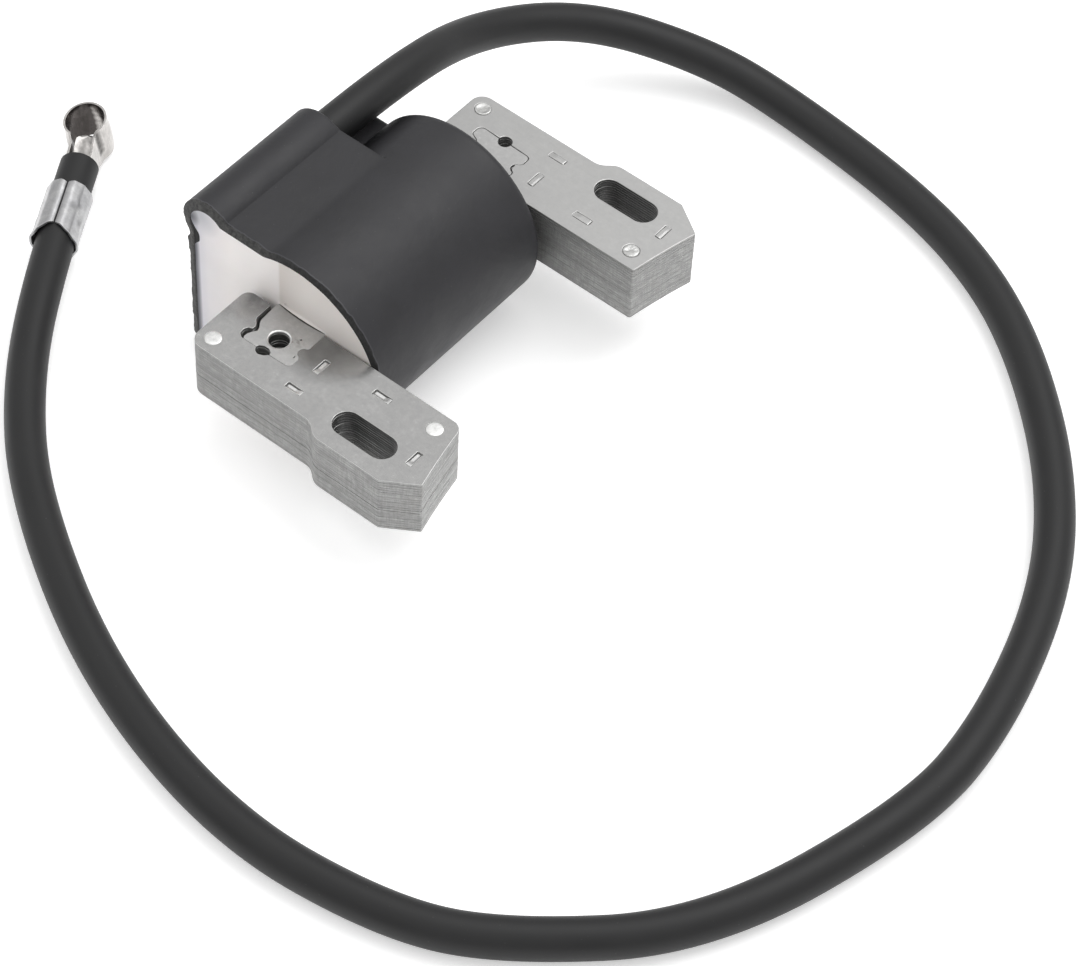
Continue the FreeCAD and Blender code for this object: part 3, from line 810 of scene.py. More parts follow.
def leg_outline(name):
    """A leg from its ear round the bar's pocket, the hollow end, the chamfer and the shoulder."""
    near = name == "near"
    outline = Outline().to(0, EAR_INNER, 1.8)
    if near:
        near_pocket(outline)
    else:
        far_pocket(outline)
    gap = GAP[name]
    right = HEAD_X[1] + gap
    flank = BAR_X[1] + gap
    lobe = WAIST_R - gap
    outline.through((right, HEAD_END[name] + gap - 0.2, 0.8), (right, HEAD_Y[0], 0.5))
    outline.arc(BAR_X[1], WAIST_Y + 0.1, lobe, 105, 150, 4)
    outline.arc(BAR_X[1] + (0.0 if near else 0.22), WAIST_Y, lobe, 165, 255, 7)
    outline.through((flank, WAIST_START_Y, 0.2), (flank, LEG_INNER, 0.15))
    outline.to(INNER_TIP_X, LEG_INNER, 2.0 if near else 0.5)
    flywheel_arc(outline)
    outline.through((LEG_LENGTH, TIP_OUTER, 0.4), (CHAMFER_X, LEG_OUTER, 0.5))
    shoulder(outline)
    return outline.to(0, LEG_NARROW, 2.5)


def bar_outline():
    """The core bar: straight flanks, and at each end a waist and a T-head with part of a hole."""
    low, high = BAR_X
    end = HEAD_END["near"]
    outline = Outline().to(low, 26.7, 0.3).arc(low, WAIST_Y, WAIST_R, -80, 75, 8)
    outline.through((HEAD_X[0], HEAD_Y[0], 0.5), (HEAD_X[0], HEAD_Y[1] + 0.15, 1.1))
    x, y, radius = JOINT_HOLE
    outline.arc(x, y, radius, 184, 356)
    outline.through((HEAD_X[1], HEAD_Y[1] - 0.2, 0.8), (HEAD_X[1], HEAD_Y[0], 0.5))
    outline.arc(high, WAIST_Y, WAIST_R, 105, 260, 10)
    outline.through((high, WAIST_START_Y, 0.2), (high, -WAIST_START_Y, 0.2))
    outline.arc(high, -WAIST_Y, WAIST_R, 100, 255, 10)
    outline.through((HEAD_X[1], -HEAD_Y[0], 0.5), (HEAD_X[1], 0.2 - end, 0.8), (12.60, -end),
                    (12.42, -31.75, 0.25), (11.7, -31.3, 0.5), (10.6, -31.33, 0.5),
                    (9.80, -31.85, 0.3), (9.70, -end), (6.80, -end, 0.2), (6.55, -31.9, 0.2),
                    (6.62, -31.1, 0.4), (7.04, -30.18, 0.4), (7.52, -29.55, 0.3),
                    (7.29, -28.85, 0.4), (6.67, -28.05, 0.4), (6.36, -27.4, 0.4), (6.10, -24.0, 0.2))
    return outline.points()


def slot_loop(side):
    """The mounting slot's outline: two half circles."""
    slot = Outline().arc(SLOT_X[1], SLOT_Y, SLOT_R, -90, 90, 18)
    return slot.arc(SLOT_X[0], SLOT_Y, SLOT_R, 90, 270, 18).points(side)


def dimple_loops(side):
    """The windows that the tabs are punched down through."""
    loops = []
    for x, v, dx, dv in DIMPLES:
        corners = ((x, v), (x + dx, v), (x + dx, v + dv), (x, v + dv))
        loops.append(Outline().through(*((*corner, 0.25) for corner in corners)).points(side))
    return loops


def tab_level(t, share, drop):
    """How high a tab stands, t along it and share across it: level where it was cut free, then a ramp."""
    kept = (1 - smooth_step((t - 0.55) / 0.42)) * (1 - 0.8 * smooth_step((share - 0.55) / 0.42))
    z = drop * kept - 0.05 * smooth_step((0.06 - t) / 0.06)
    return z - 0.012 - (0.05 if share == 0 else 0.0)


def add_tab(bm, dimple, side, drop, flip):
    """The half-sheared tab of a dimple, with its sheared sides below."""
    x, v, dx, dv = dimple
    along_x = dx > dv
    length, width = (dx, dv) if along_x else (dv, dx)
    backwards = flip and along_x
    rows = []
    for share in TAB_SHARES:
        across = TAB_CRACK + (width - TAB_CRACK - 0.01) * share
        row = []
        for i in range(TAB_STEPS + 1):
            t = i / TAB_STEPS
            s = TAB_CRACK * (1 - t) + t * length
            reach, side_way = (length - s, width - across) if backwards else (s, across)
            px, pv = (x + reach, v + side_way) if along_x else (x + side_way, v + reach)
            row.append(bm.verts.new((px, side * pv, tab_level(t, share, drop))))
        rows.append(row)
    skin_grid(bm, rows, PRESSED)
    rim = rows[0] + [row[-1] for row in rows[1:-1]] + rows[-1][::-1] + [row[0] for row in rows[-2:0:-1]]
    foot = [bm.verts.new((vert.co.x, vert.co.y, -0.57)) for vert in rim]
    skin_band(bm, rim, foot)
    bm.faces.new(foot)


def stack_of_sheets(name, full, top, seed):
    """A pile of sheets, each a little off its neighbours in place and in thickness."""
    chance = random.Random(seed)
    bm = bmesh.new()
    for i in range(SHEETS):
        outer = i in (0, SHEETS - 1)
        loops = top if i == 0 else full
        if not outer and name == "bar":
            wider = chance.uniform(-0.04, 0.13)
            loops = [full[0], circle(CORE_HOLE[0], -CORE_HOLE[1], CORE_HOLE[2] + wider)]
        gap = chance.choice(SHEET_GAPS)
        mesh = plate_mesh(name, loops, PITCH - gap, OUTER_EDGE[name] if outer else INNER_EDGE)
        shift = (0, 0) if outer else (chance.gauss(0, SHEET_DRIFT), chance.gauss(0, SHEET_DRIFT))
        lift = gap / 2 if i == 0 else -gap / 2 if i == SHEETS - 1 else 0
        mesh.transform(Matrix.Translation((*shift, -(i + 0.5) * PITCH + lift)))
        bm.from_mesh(mesh)
        bpy.data.meshes.remove(mesh)
    bmesh.ops.remove_doubles(bm, verts=bm.verts, dist=1e-4)
    return bm


def in_slot(spot):
    return SLOT_X[0] - 3 < spot.x < SLOT_X[1] + 3 and abs(abs(spot.y) - SLOT_Y) < SLOT_R + 0.1


def in_core_hole(spot):
    return math.hypot(spot.x - CORE_HOLE[0], spot.y + CORE_HOLE[1]) < CORE_HOLE[2] + 0.2


def split_face_and_edge(bm, in_hole):
    """Gives the sheets' faces, their edges, the hole walls and the top sheet's burr their materials."""
    bm.normal_update()
    for face in bm.faces:
        middle = face.calc_center_median()
        level = face.normal.z > 0.5 or face.normal.z < -0.5
        face.material_index = FACE if level else HOLE_WALL if in_hole(middle) else EDGE
        if 0.25 < face.normal.z < 0.97 and middle.z > -0.3:
            face.material_index = BURR


def make_leg(name, seed):
    """A leg's stack of sheets, with the tabs in its top sheet."""
    side = -1 if name == "near" else 1
    holes = [circle(x, side * v, RIVET_HOLE_R) for x, v in RIVETS.values()]
    full = [leg_outline(name).points(side), slot_loop(side), *holes]
    bm = stack_of_sheets(f"{name}_leg", full, full + dimple_loops(side), seed)
    split_face_and_edge(bm, in_slot)
    for dimple in DIMPLES:
        add_tab(bm, dimple, side, TAB_DROP[name], name == "far")
    tab = "near_tab" if name == "near" else "far_face"
    finishes = (f"{name}_face", "sheared_edge", "slot_wall", tab, "burr")
    sheets = piece(f"{name}_leg_sheets", bm, finishes, flat_level=True)
    settle(sheets, "lamination_steel", f"{name}_leg_laminations")


def add_rolled_hole(bm):
    """The top sheet's rolled-in edge round the bar's hole."""
    x, v, radius = CORE_HOLE
    section = [(radius, 0.03 - PITCH)]
    for angle in (0, 0.3, 0.6, 0.9, 1.2, math.pi / 2):
        section.append((radius + HOLE_ROLL * (1 - math.cos(angle)), -HOLE_ROLL * (1 - math.sin(angle))))
    section.append((radius + HOLE_ROLL, 0.03 - PITCH))
    rings = [[bm.verts.new((px, py, z)) for px, py in circle(x, -v, reach)] for reach, z in section]
    return [face for a, b in zip(rings, rings[1:] + rings[:1]) for face in skin_band(bm, a, b)]


def make_bar():
    """The core bar's stack of sheets, with its hole, a prick mark and a nick in the top sheet."""
    x, v, radius = CORE_HOLE
    outline = bar_outline()
    nick = Outline().through((15.95, -29.6), (16.12, -29.65), (16.2, -30.1), (16.0, -30.2)).points()
    marked = [outline, circle(x, -v, radius + HOLE_ROLL), circle(14.43, -26.3, 0.17, 10), nick]
    bm = stack_of_sheets("bar", [outline, circle(x, -v, radius)], marked, 5)
    rolled = add_rolled_hole(bm)
    split_face_and_edge(bm, in_core_hole)
    # The rolled edge is real; its brighter rivet steel is a painted highlight round the hole.
    for face in rolled:
        face.material_index = PRESSED
    finishes = ("bar_face", "sheared_edge", "slot_wall", "rivet_steel", "bar_face")
    sheets = piece("core_bar_sheets", bm, finishes, flat_level=True)
    settle(sheets, "lamination_steel", "core_bar_laminations")


# ---------- Rivets ----------

RIVET_HEADS = {
    "flat": ((1.58, -0.10), (1.57, 0.02), (1.48, 0.09), (1.3, 0.125), (0.9, 0.145), (0.45, 0.15),
             (0.1, 0.15)),
    "crater": ((1.58, -0.05), (1.58, 0.04), (1.45, 0.14), (1.2, 0.14), (0.95, 0.03), (0.55, -0.02),
               (0.1, 0.0)),
    "rough": ((1.54, -0.05), (1.52, 0.02), (1.36, 0.12), (1.1, 0.15), (0.75, 0.12), (0.4, 0.13),
              (0.1, 0.10)),
}
UNEVENNESS = {"flat": 0.02, "crater": 0.06, "rough": 0.14}
RIVET_STEPS = 40
RIVET_TOP = 0.15


def rivet_ring(x, y, radius, z, uneven):
    """One ring of a rivet, dented inwards and, on the head, a little up and down."""
    ring = []
    for i in range(RIVET_STEPS):
        angle = TAU * i / RIVET_STEPS
        away = Vector((math.cos(angle), math.sin(angle), 0))
        spot = Vector((x, y, z)) + away * radius
        wobble = noise.noise(spot * 1.1 + Vector((7, 3, 1)))
        spot += away * min(0.0, wobble) * uneven
        if z > 0.06:
            spot.z = min(RIVET_TOP, z + noise.noise(spot * 2.2) * uneven * 0.8)
        ring.append(spot)
    return ring


def sink_pit(bm, x, y):
    """The pit in a rough head."""
    pit = Vector((x - 0.45, y - 0.35))
    for vert in bm.verts:
        if vert.co.z > -0.2:
            vert.co.z -= 0.22 * math.exp(-((vert.co.xy - pit).length / 0.3) ** 2)


def make_rivet(leg, place, head):
    """A rivet with a flat head below and the named kind of head on top."""
    x, v = RIVETS[place]
    y = -v if leg == "near" else v
    under = [(radius, -STACK - z) for radius, z in RIVET_HEADS["flat"]]
    profile = under[::-1] + list(RIVET_HEADS[head])
    bm = bmesh.new()
    skin_rings(bm, [rivet_ring(x, y, radius, z, UNEVENNESS[head]) for radius, z in profile])
    if head == "rough":
        sink_pit(bm, x, y)
    finish = "rivet_steel" if head == "flat" else "rivet_worn"
    rivet = piece(f"{leg}_{place}_rivet_headed", bm, [finish], sharp=60)
    settle(rivet, "rivet_steel", f"{leg}_leg_{place}_rivet")


# ---------- Housing and resin ----------

NECK_Z = 0.6
NECK_HIGH_Z, NECK_LOW_Z = 2.5, 1.45
NECK_IN = 0.35
NECK_PROUD, NECK_FADE = 0.3, 2.0
CREASE_REACH = 1.2
TOWER_ROUND = 0.9
FAR_ROUND = 1.6
FAR_HALF = 19
FLAT_X, FLAT_Z = -7.2, 9.5
FLAT_STEP = 0.82
FLAT_SINK = 0.3
STEP_LOW = 1.6
STEP_BLEND = 1.6
FOOT_BULGE = 1.3
FOOT_X = -11.0
FOOT_Z = (1.0, 8.6)
FOOT_FADE = (2.0, 4.9)
RIM_BACK = 1.8
RIM_ROUGH = 0.07
RIM_LEVELS = ((0.00, 0.10, 0.02), (0.14, 0.00, 0.05), (0.40, 0.17, 0.10), (0.70, 0.38, 0.16),
              (0.93, 0.56, 0.22), (1.012, 0.68, 0.24), (0.99, 0.95, 0.22))
PLAIN_LEVELS = (-4, -13, -18)
FOOT_LEVELS = (-19.5, -21.5)
RESIN_SKIN = 0.8
RESIN_WIDE = 4.5
WALL_RISE, WALL_REACH = 0.06, 0.45
BAR_RISE, BAR_REACH = 0.15, 0.4
NOSE_AT, NOSE_WIDTH = 0.24, 0.22
BOW_HALF = 5.4
BOW_RISE = 0.36
RESIN_BY_WALL = (-0.08, 0.0, 0.15, 0.35, 0.65, 1.1, 1.8)
RESIN_BY_BAR = (1.6, 1.0, 0.7, 0.5, 0.38, 0.28, 0.2, 0.12, 0.05, 0.0)


class Section(SimpleNamespace):
    """One skin of the housing, as two matching (x, z) outlines: through the tower and past it."""

    def on_round(self, angle):
        return polar((ROUND_X, ROUND_Z), self.radius, angle)

    def on_tower(self, angle):
        return polar((TOWER_X, TOWER_Z), self.tower, angle)

    def left_at(self, z):
        """The left wall, which is a little proud under the tower's neck."""
        proud = NECK_PROUD if self.neck else 0.0
        return self.left - proud * math.exp(min(0.0, z - NECK_Z) / NECK_FADE)

    def lower_part(self):
        """What both outlines share: the left wall, its lower corner and the underside."""
        turn = (self.left + self.corner, self.bottom + self.corner)
        wall = [Vector((self.left_at(z), z)) for z in spread(NECK_Z, turn[1], 44)]
        wall += [polar(turn, self.corner, math.pi + angle) for angle in spread(0, math.pi / 2, 8)]
        return wall + spread(Vector((turn[0], self.bottom)), Vector((ROUND_X, self.bottom)), 40)

    def neck_line(self, neck_x, start, end):
        """From the tower down to the wall, in at the neck on the outer skin."""
        if self.neck:
            turns = [start, Vector((neck_x + 0.02, NECK_HIGH_Z)), Vector((end.x + 0.05, NECK_LOW_Z)), end]
        else:
            turns = [start, start.lerp(end, 0.4), start.lerp(end, 0.8), end]
        return [place for a, b in zip(turns, turns[1:]) for place in spread(a, b, 4)]

    def outlines(self):
        """The two outlines, from the round's lowest place over the top and down the left."""
        join = math.pi - math.asin((self.flat - ROUND_Z) / self.radius)
        ledge_join = math.pi - math.asin((self.ledge - ROUND_Z) / self.radius)
        crease = math.asin((self.flat - TOWER_Z) / self.tower)
        neck_x = self.left + NECK_IN if self.neck else self.left
        neck = math.pi + math.acos((TOWER_X - neck_x) / self.tower)
        ledge_end = Vector((self.left_at(NECK_Z), self.ledge))
        wall_top = Vector((self.left_at(NECK_Z), NECK_Z))
        near = [self.on_round(a) for a in spread(-math.pi / 2, join, 130)]
        far = near + [self.on_round(a) for a in spread(join, ledge_join, 22)]
        near += spread(self.on_round(join), self.on_tower(crease), 22)
        near += [self.on_tower(a) for a in spread(crease, neck, 54)]
        near += self.neck_line(neck_x, self.on_tower(neck), wall_top)
        far += spread(self.on_round(ledge_join), ledge_end, 54)
        far += spread(ledge_end, wall_top, 12)
        keep = self.on_tower(crease)
        return [softened(outline + self.lower_part(), keep) for outline in (near, far)]


def softened(outline, keep):
    """Rounds the corners of an outline a little, apart from the crease named."""
    count = len(outline)
    for _ in range(2):
        fair = [(outline[i - 1] + outline[i] * 2 + outline[(i + 1) % count]) / 4 for i in range(count)]
        outline = [old if (old - keep).length < CREASE_REACH else new for old, new in zip(outline, fair)]
    return outline


OUTER = Section(radius=18.45, tower=5.85, flat=11.1, ledge=1.75, left=-14.8, bottom=BOTTOM_Z, corner=2.0,
                neck=True)
INNER = Section(radius=17.5, tower=3.9, flat=9.55, ledge=0.5, left=-13.0, bottom=BOTTOM_Z + 1.2, corner=1.2,
                neck=False)


def inset(outline, depth):
    """The outline moved inwards by a depth, square to itself."""
    out = []
    for i, spot in enumerate(outline):
        along = (outline[(i + 1) % len(outline)] - outline[i - 1]).normalized()
        out.append(spot + Vector((-along.y, along.x)) * depth)
    return out


def ring_at(y, outline):
    return [Vector((p.x, y, p.y)) for p in outline]


def ragged(spot, seed):
    """The unevenness of a trimmed edge, between about -1 and 1."""
    slow = noise.noise(Vector((spot.x * 0.45, seed, spot.y * 0.45)))
    quick = noise.noise(Vector((spot.x * 1.7, seed + 5, spot.y * 1.7)))
    return slow + 0.55 * quick


def swollen(outline):
    """The inner outline with the wall thickened inwards under the tower."""
    low, high = FOOT_Z
    out = []
    for x, z in outline:
        bulge = FOOT_BULGE * smooth_step((high - z) / FOOT_FADE[1]) * smooth_step((z - low) / FOOT_FADE[0])
        out.append(Vector((x + bulge if x <= FOOT_X else x, z)))
    return out


def rim_rings(outer, inner):
    """The trimmed rim: from its inner lip, over a rough sloping face, to a slightly proud outer edge."""
    rings = []
    for share, back, rough in RIM_LEVELS:
        ring = []
        for a, b in zip(inner, outer):
            spot = a.lerp(b, share)
            out = spot + (b - a).normalized() * RIM_ROUGH * ragged(spot, 8.7) * min(1.0, share * 1.5)
            y = RIM_Y + max(0.0, back + rough * ragged(spot, 3.1))
            ring.append(Vector((out.x, y, max(BOTTOM_Z, out.y))))
        rings.append(ring)
    return rings


def tower_end_rings(near, far):
    """The tower's rounded end, and beside it the flat's sharper step down to the ledge."""
    start_y = TOWER_END_Y - TOWER_ROUND
    rings = []
    for i in range(1, 8):
        turn = math.pi / 2 * i / 7
        back = 1 - math.cos(turn)
        ring = []
        for place, low, beyond in zip(near, inset(near, TOWER_ROUND * back), far):
            on_flat = smooth_step((place.x - FLAT_X) / STEP_BLEND) if place.y > FLAT_Z else 0.0
            steps_down = (place - beyond).length > 0.02
            on_step = smooth_step((place.y - STEP_LOW) / STEP_BLEND) if steps_down else 0.0
            spot = low.lerp(Vector((place.x, place.y - FLAT_SINK * back)), on_flat)
            spot = place.lerp(spot, on_step)
            along = math.sin(turn) + on_flat * FLAT_STEP * (1 - math.sin(turn))
            ring.append(Vector((spot.x, start_y + TOWER_ROUND * along, spot.y)))
        rings.append(ring)
    return rings


def far_end_rings(outline):
    """The housing past the tower, and its rounded closed end."""
    start_y = FAR_END_Y - FAR_ROUND
    step = (start_y - TOWER_END_Y) / 9
    rings = [ring_at(TOWER_END_Y + step * i, outline) for i in range(1, 10)]
    middle = Vector(((CASE_LOW.x + CASE_HIGH.x) / 2, ROUND_Z))
    shrunk = [middle + (p - middle) * (1 - FAR_ROUND / FAR_HALF) for p in outline]
    for i in range(1, 9):
        turn = math.pi / 2 * i / 8
        share = 1 - math.cos(turn)
        turned = [a.lerp(b, share) for a, b in zip(outline, shrunk)]
        rings.append(ring_at(start_y + FAR_ROUND * math.sin(turn), turned))
    return rings


def make_housing():
    """The case as one skin: from its end wall out along the inside, over the rim and back outside."""
    outer_near, outer_far = OUTER.outlines()
    inner_near, inner_far = INNER.outlines()
    step_y = TOWER_END_Y - END_WALL
    rings = [ring_at(y, inner_far) for y in (FAR_END_Y - END_WALL, 13, step_y + 0.02)]
    rings += [ring_at(y, inner_near) for y in (step_y, *PLAIN_LEVELS)]
    rings += [ring_at(y, swollen(inner_near)) for y in (*FOOT_LEVELS, RESIN_Y + 0.15, RESIN_Y - 0.08)]
    rings += [ring_at(y, inner_near) for y in (RESIN_Y - 0.09, RESIN_Y - 0.11)]
    dark_from = len(rings) - 3
    rings += rim_rings(outer_near, inner_near)
    rim_to = len(rings) - 1
    rings += [ring_at(y, outer_near) for y in spread(RIM_Y + RIM_BACK, TOWER_END_Y - TOWER_ROUND, 16)]
    rings.append(ring_at(TOWER_END_Y - TOWER_ROUND, outer_near))
    rings += tower_end_rings(outer_near, outer_far)
    rings.append(ring_at(TOWER_END_Y + 0.02, outer_far))
    rings += far_end_rings(outer_far)
    # The rim's outer edge takes the lighter plastic as a painted highlight, and the bands by the resin take
    # the darker plastic as painted shade.
    rim, shade, flash = 1, 2, 3
    paint = {k: rim for k in range(dark_from + 2, rim_to)}
    paint[dark_from - 1] = paint[dark_from] = shade
    paint[rim_to - 1] = flash
    bm = bmesh.new()
    skin_rings(bm, rings, paint)
    finishes = ("housing_plastic", "housing_rim", "housing_shade", "housing_flash_painted_highlight")
    housing = piece("coil_housing_moulding", bm, finishes, sharp=40)
    settle(housing, "housing_plastic", "coil_housing")


def bar_edge_at(angle):
    """Where a ray from the bar's middle leaves the bar's section, as (x, z)."""
    half_x = (BAR_X[1] - BAR_X[0]) / 2
    half_z = STACK / 2
    reach = min(half_x / max(1e-6, abs(math.cos(angle))), half_z / max(1e-6, abs(math.sin(angle))))
    return Vector((BAR_MIDDLE + reach * math.cos(angle), -half_z + reach * math.sin(angle)))


def across_resin(a, b):
    """The places of one line across the cast face, from a on the wall to b on the bar."""
    way = (b - a).normalized()
    places = [a + way * reach for reach in RESIN_BY_WALL]
    for i in range(1, 8):
        if (b - a).length > RESIN_WIDE:
            places.append(a.lerp(b, 0.1 + 0.8 * i / 8))
        else:
            places.append((a + way * RESIN_BY_WALL[-1]).lerp(b - way * RESIN_BY_BAR[0], i / 8))
    return places + [b - way * reach for reach in RESIN_BY_BAR]


def resin_spot(spot, wall, bar):
    """A place on the cast face: drawn up at the wall and over the bar's top edge."""
    from_bar = (spot - bar).length
    y = RESIN_Y - 0.03 - 0.03 * noise.noise(Vector((spot.x * 0.2, 0, spot.y * 0.2)))
    y -= WALL_RISE * math.exp(-(spot - wall).length / WALL_REACH)
    if bar.y > -0.02:
        across = (bar.x - BAR_MIDDLE) / BOW_HALF
        bow = BOW_RISE * (1 - across ** 2) + 0.06 * noise.noise(Vector((bar.x * 0.9, 4, 0)))
        nose = math.exp(-((from_bar - NOSE_AT) / NOSE_WIDTH) ** 2)
        y -= bow * max(nose, 0.35 if from_bar < 0.05 else 0.0)
    else:
        y -= BAR_RISE * math.exp(-from_bar / BAR_REACH)
    return Vector((spot.x, y, spot.y))


def make_resin_skin():
    """The cast face around the bar, in front of the resin's solid."""
    wall = swollen(INNER.outlines()[0])
    middle = Vector((BAR_MIDDLE, -STACK / 2))
    bar = [bar_edge_at(math.atan2(p.y - middle.y, p.x - middle.x)) for p in wall]
    rows = list(zip(*(across_resin(a, b) for a, b in zip(wall, bar))))
    rings = [ring_at(RESIN_Y + RESIN_SKIN, rows[0])]
    rings += [[resin_spot(*spots) for spots in zip(row, wall, bar)] for row in rows]
    rings.append(ring_at(RESIN_Y + RESIN_SKIN, bar))
    bm = bmesh.new()
    made = [[bm.verts.new(place) for place in ring] for ring in rings]
    for a, b in zip(made, made[1:] + made[:1]):
        skin_band(bm, a, b)
    settle(piece("potting_resin_face", bm, ["potting_resin"], sharp=75), "potting_resin")


# ---------- Lead, ferrule and clip ----------

def make_lead():
    """The lead as one round cord along its route."""
    curve = bpy.data.curves.new("ignition_lead_jacket", "CURVE")
    curve.dimensions = "3D"
    curve.bevel_depth = LEAD_DIAMETER / 2 * MM
    curve.bevel_resolution = 10
    curve.resolution_u = 16
    curve.use_fill_caps = True
    curve.materials.append(finish_of("lead_rubber"))
    spline = curve.splines.new("NURBS")
    spline.points.add(len(LEAD_ROUTE) - 1)
    for point, (x, y, z) in zip(spline.points, LEAD_ROUTE):
        point.co = (x * MM, y * MM, z * MM, 1)
    spline.order_u = 3
    spline.use_endpoint_u = True
    return settle(in_scene("ignition_lead_jacket", curve), "lead_rubber", "ignition_lead")


def at_lead_end(roll=0.0):
    """Turns and moves what is drawn along x so that it lies on the lead's cut end, in mm."""
    angle = math.atan2(LEAD_RUN.y, LEAD_RUN.x)
    turn = Matrix.Rotation(angle, 4, "Z") @ Matrix.Rotation(math.radians(-roll), 4, "X")
    return Matrix.Translation(LEAD_END) @ turn


FERRULE_FROM_END = 7.3
FERRULE_LENGTH = 12.2
FERRULE_WALL = 0.45
FERRULE_R = 4.2
FERRULE_FLAT_R = 4.15
FERRULE_CORNER_R = 4.24
FERRULE_SEAM = math.radians(89)
SEAM_OPEN = math.radians(1.8)
FERRULE_AROUND, FERRULE_ALONG = 120, 26
NOTCH_DEPTH, NOTCH_WIDTH = 1.9, 4.6
CROWN_HEIGHT, CROWN_WIDTH = 0.35, 1.2
SEAM_DIP, SEAM_WIDTH = 0.30, 0.8
FLARE = 0.22
TOOL_DEPTH, TOOL_REACH = 0.16, 0.8
TOOL_MARKS = ((-17.0, 28), (-14.2, 22), (-11.0, 30), (-12.5, 130), (-16.0, 150))


def ferrule_radius(angle):
    """The ferrule's outer radius: six flats with well rounded corners."""
    sector = math.radians(60)
    within = (angle + sector / 2 - math.radians(90)) % sector - sector / 2
    return min(FERRULE_FLAT_R / math.cos(within), FERRULE_CORNER_R + 0.1 * math.cos(within * 3))


def ferrule_dents(spot):
    """How deep the tool marks are at a place."""
    depth = 0.0
    for x, angle in TOOL_MARKS:
        mark = Vector((x, *polar((0, 0), FERRULE_R, math.radians(angle))))
        depth += TOOL_DEPTH * math.exp(-((spot - mark).length / TOOL_REACH) ** 2)
    return depth


def ferrule_spot(turn, lip, t, layer):
    """A place on the sleeve: lip is how far round it is from the seam, t how far along it is."""
    notch = NOTCH_DEPTH * max(0.0, 1 - lip / NOTCH_WIDTH) ** 1.3
    crown = CROWN_HEIGHT * max(0.0, 1 - lip / CROWN_WIDTH)
    x = -FERRULE_FROM_END - FERRULE_LENGTH + notch + (FERRULE_LENGTH - notch - crown) * t
    flare = FLARE * max(0.0, 1 - t / 0.12) * smooth_step((lip - 2.5) / 3)
    radius = ferrule_radius(turn) + flare - layer * FERRULE_WALL
    radius -= SEAM_DIP * max(0.0, 1 - lip / SEAM_WIDTH) ** 2
    away = Vector((0, *polar((0, 0), 1, turn)))
    spot = Vector((x, *polar((0, 0), radius, turn)))
    spot += away * (0.05 * noise.noise(spot * 0.5) - ferrule_dents(spot))
    spot.x += 0.08 * noise.noise(spot * 0.8) * (1 - t)
    return spot


def make_ferrule():
    """A sheet sleeve wrapped round the lead and crimped to six sides, its two lips meeting on top."""
    around, along = FERRULE_AROUND, FERRULE_ALONG
    bm = bmesh.new()
    skins = []
    for layer in (0, 1):
        grid = []
        for i in range(around + 1):
            turn = FERRULE_SEAM + SEAM_OPEN + (TAU - 2 * SEAM_OPEN) * i / around
            lip = min(i, around - i) / around * TAU * FERRULE_R
            grid.append([bm.verts.new(ferrule_spot(turn, lip, k / along, layer)) for k in range(along + 1)])
        skins.append(grid)
    skin_sheet(bm, *skins)
    bm.transform(at_lead_end())
    sleeve = piece("crimp_ferrule_sheet", bm, ["ferrule_zinc"], sharp=50, in_drawing=False)
    bevel(sleeve, 0.08, 2)
    return settle(sleeve, "ferrule_zinc", "crimp_ferrule")


CLIP_CENTRE = (8.2, 0.25)
CLIP_ROLL = 9.0
CLIP_BORE = 3.6
CLIP_SHEET = 0.42
CLIP_LOW, CLIP_HIGH = -3.66, 4.0
CLIP_LEG_LOWER = 1.9
CLIP_TILT = 0.13
CLIP_MOUTH = (math.radians(35), math.radians(47))
CLIP_BELLY = 0.26
CLIP_LIP, LIP_FROM = 0.07, 0.86
BARREL_FROM, LEG_TAPER = 5.0, 6.0
CLIP_STEPS, CLIP_LEVELS = 72, 16
INSIDE, FLOOR = 1, 2
TONGUE_X = (-1.0, 6.0)
TONGUE_WIDTH = 1.98
TONGUE_ROWS = 16


def leg_path(*places):
    """One leg of the strip through the places given; none of it has a share in the barrel."""
    return [(p, 0.0) for a, b in zip(places, places[1:]) for p in spread(a, b, 4)] + [(places[-1], 0.0)]


def clip_path():
    """The strip's inner face in plan, with each place's share in the barrel, from leg to leg."""
    up, down = CLIP_MOUTH
    start = polar(CLIP_CENTRE, CLIP_BORE, math.pi - up)
    end = polar(CLIP_CENTRE, CLIP_BORE, math.pi + down)
    upper = [Vector(p) for p in ((-1.0, 1.8), (1.0, 1.75), (3.2, 1.7))]
    lower = [Vector(p) for p in ((-1.0, -2.25), (1.0, -2.25), (3.2, -2.1))]
    path = leg_path(*upper, start + Vector((-0.7, -0.2)))
    for i in range(CLIP_STEPS + 1):
        angle = math.pi - up - (TAU - up - down) * i / CLIP_STEPS
        share = min(1.0, i / 5, (CLIP_STEPS - i) / 5)
        path.append((polar(CLIP_CENTRE, CLIP_BORE, angle), share))
    return path + leg_path(*lower, end + Vector((-0.6, 0.2)))[::-1]


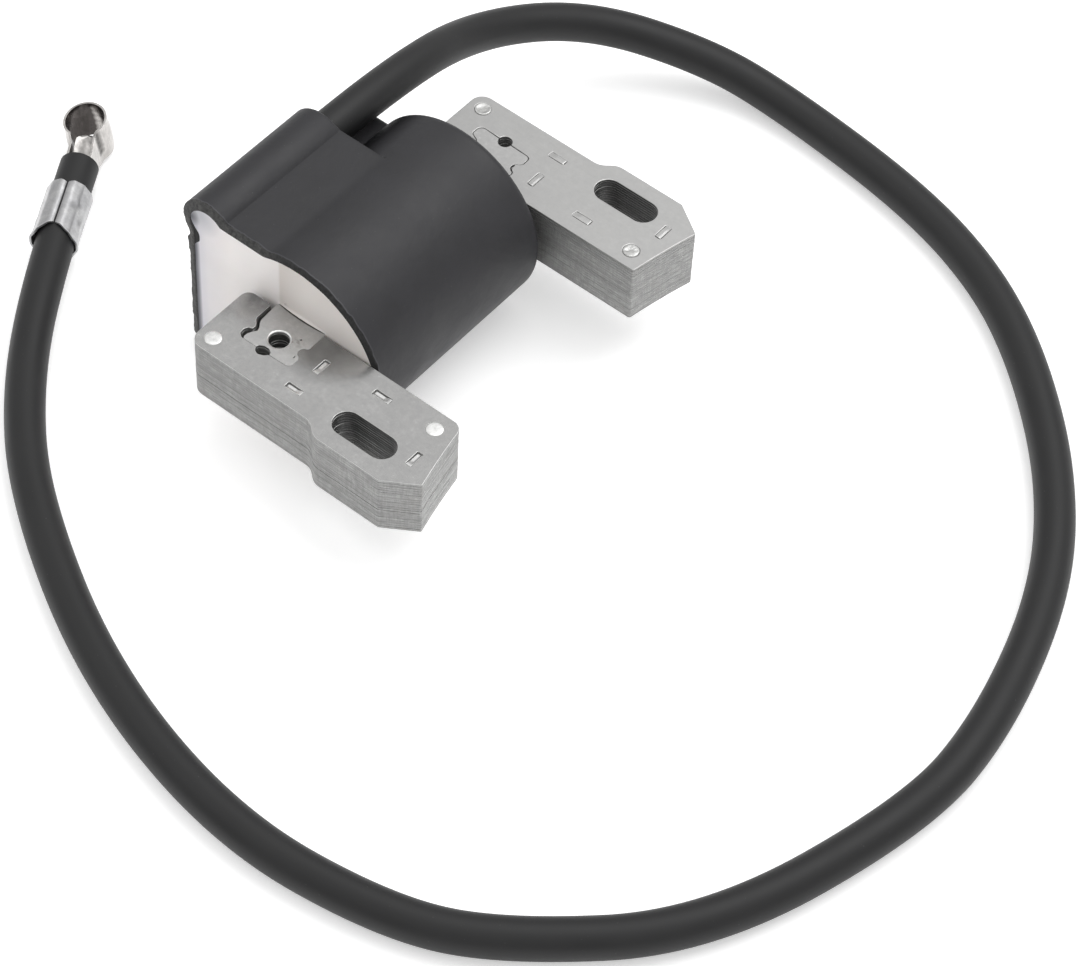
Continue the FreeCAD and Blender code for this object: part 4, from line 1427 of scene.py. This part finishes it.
def clip_column(spot, outward, ring):
    """The inner and outer places of the strip over one place of its path, from bottom to top."""
    leg = CLIP_LEG_LOWER * smooth_step((BARREL_FROM - spot.x) / LEG_TAPER)
    tilt = (CLIP_TILT * (spot.x - CLIP_CENTRE[0]) - 0.2) * smooth_step(spot.x / 4.0)
    low = CLIP_LOW + leg
    high = CLIP_HIGH - leg + tilt
    columns = ([], [])
    for k in range(CLIP_LEVELS + 1):
        t = k / CLIP_LEVELS
        belly = CLIP_BELLY * math.sin(math.pi * min(1.0, t * 1.08)) * ring
        lip = CLIP_LIP * smooth_step((t - LIP_FROM) / (1 - LIP_FROM)) * ring
        for layer, column in enumerate(columns):
            place = spot + outward * (belly + lip + layer * CLIP_SHEET)
            column.append(Vector((place.x, place.y, low + (high - low) * t)))
    return columns


def make_clip():
    """A strip of spring sheet: two legs from the jacket that open into a bellied barrel."""
    path = clip_path()
    bm = bmesh.new()
    skins = ([], [])
    for i, (spot, ring) in enumerate(path):
        before = path[max(0, i - 1)][0]
        after = path[min(len(path) - 1, i + 1)][0]
        heading = (after - before).normalized()
        for skin, column in zip(skins, clip_column(spot, Vector((-heading.y, heading.x)), ring)):
            skin.append([bm.verts.new(place) for place in column])
    skin_sheet(bm, *skins, top_material=INSIDE)
    add_clip_floor(bm)
    bm.transform(at_lead_end(CLIP_ROLL))
    finishes = ("clip_nickel", "clip_inside", "clip_floor")
    strip = piece("terminal_clip_strip", bm, finishes, sharp=50, in_drawing=False)
    bevel(strip, 0.09, 3)
    return settle(strip, "clip_nickel", "terminal_clip")


def add_clip_floor(bm):
    """The channel's floor between the legs, with a rounded tongue that reaches into the barrel's mouth."""
    top, low = [], []
    start, end = TONGUE_X
    for i in range(TONGUE_ROWS + 1):
        t = i / TONGUE_ROWS
        x = start + (end - start) * t
        width = TONGUE_WIDTH * math.sqrt(max(0.015, 1 - max(0.0, (t - 0.84) / 0.16) ** 2)) - 0.1 * t
        rise = -0.9 + 2.5 * smooth_step(t * 1.1)
        line = [Vector((x, width * s - 0.4, rise + 0.9 * s * s * (1 - 0.5 * t)))
                for s in (-1, -0.66, -0.33, 0, 0.33, 0.66, 1)]
        top.append([bm.verts.new(p) for p in line])
        low.append([bm.verts.new(p - Vector((0, 0, CLIP_SHEET))) for p in line])
    skin_sheet(bm, top, low, top_material=FLOOR)


# ---------- The whole ----------

place_camera()
lead = make_lead()
make_stage()
dress_frame()
make_leg("near", 2)
make_leg("far", 3)
make_bar()
make_rivet("near", "rear", "flat")
make_rivet("near", "front", "flat")
make_rivet("far", "rear", "crater")
make_rivet("far", "front", "rough")
make_housing()
make_resin_skin()
ferrule = make_ferrule()
clip = make_clip()
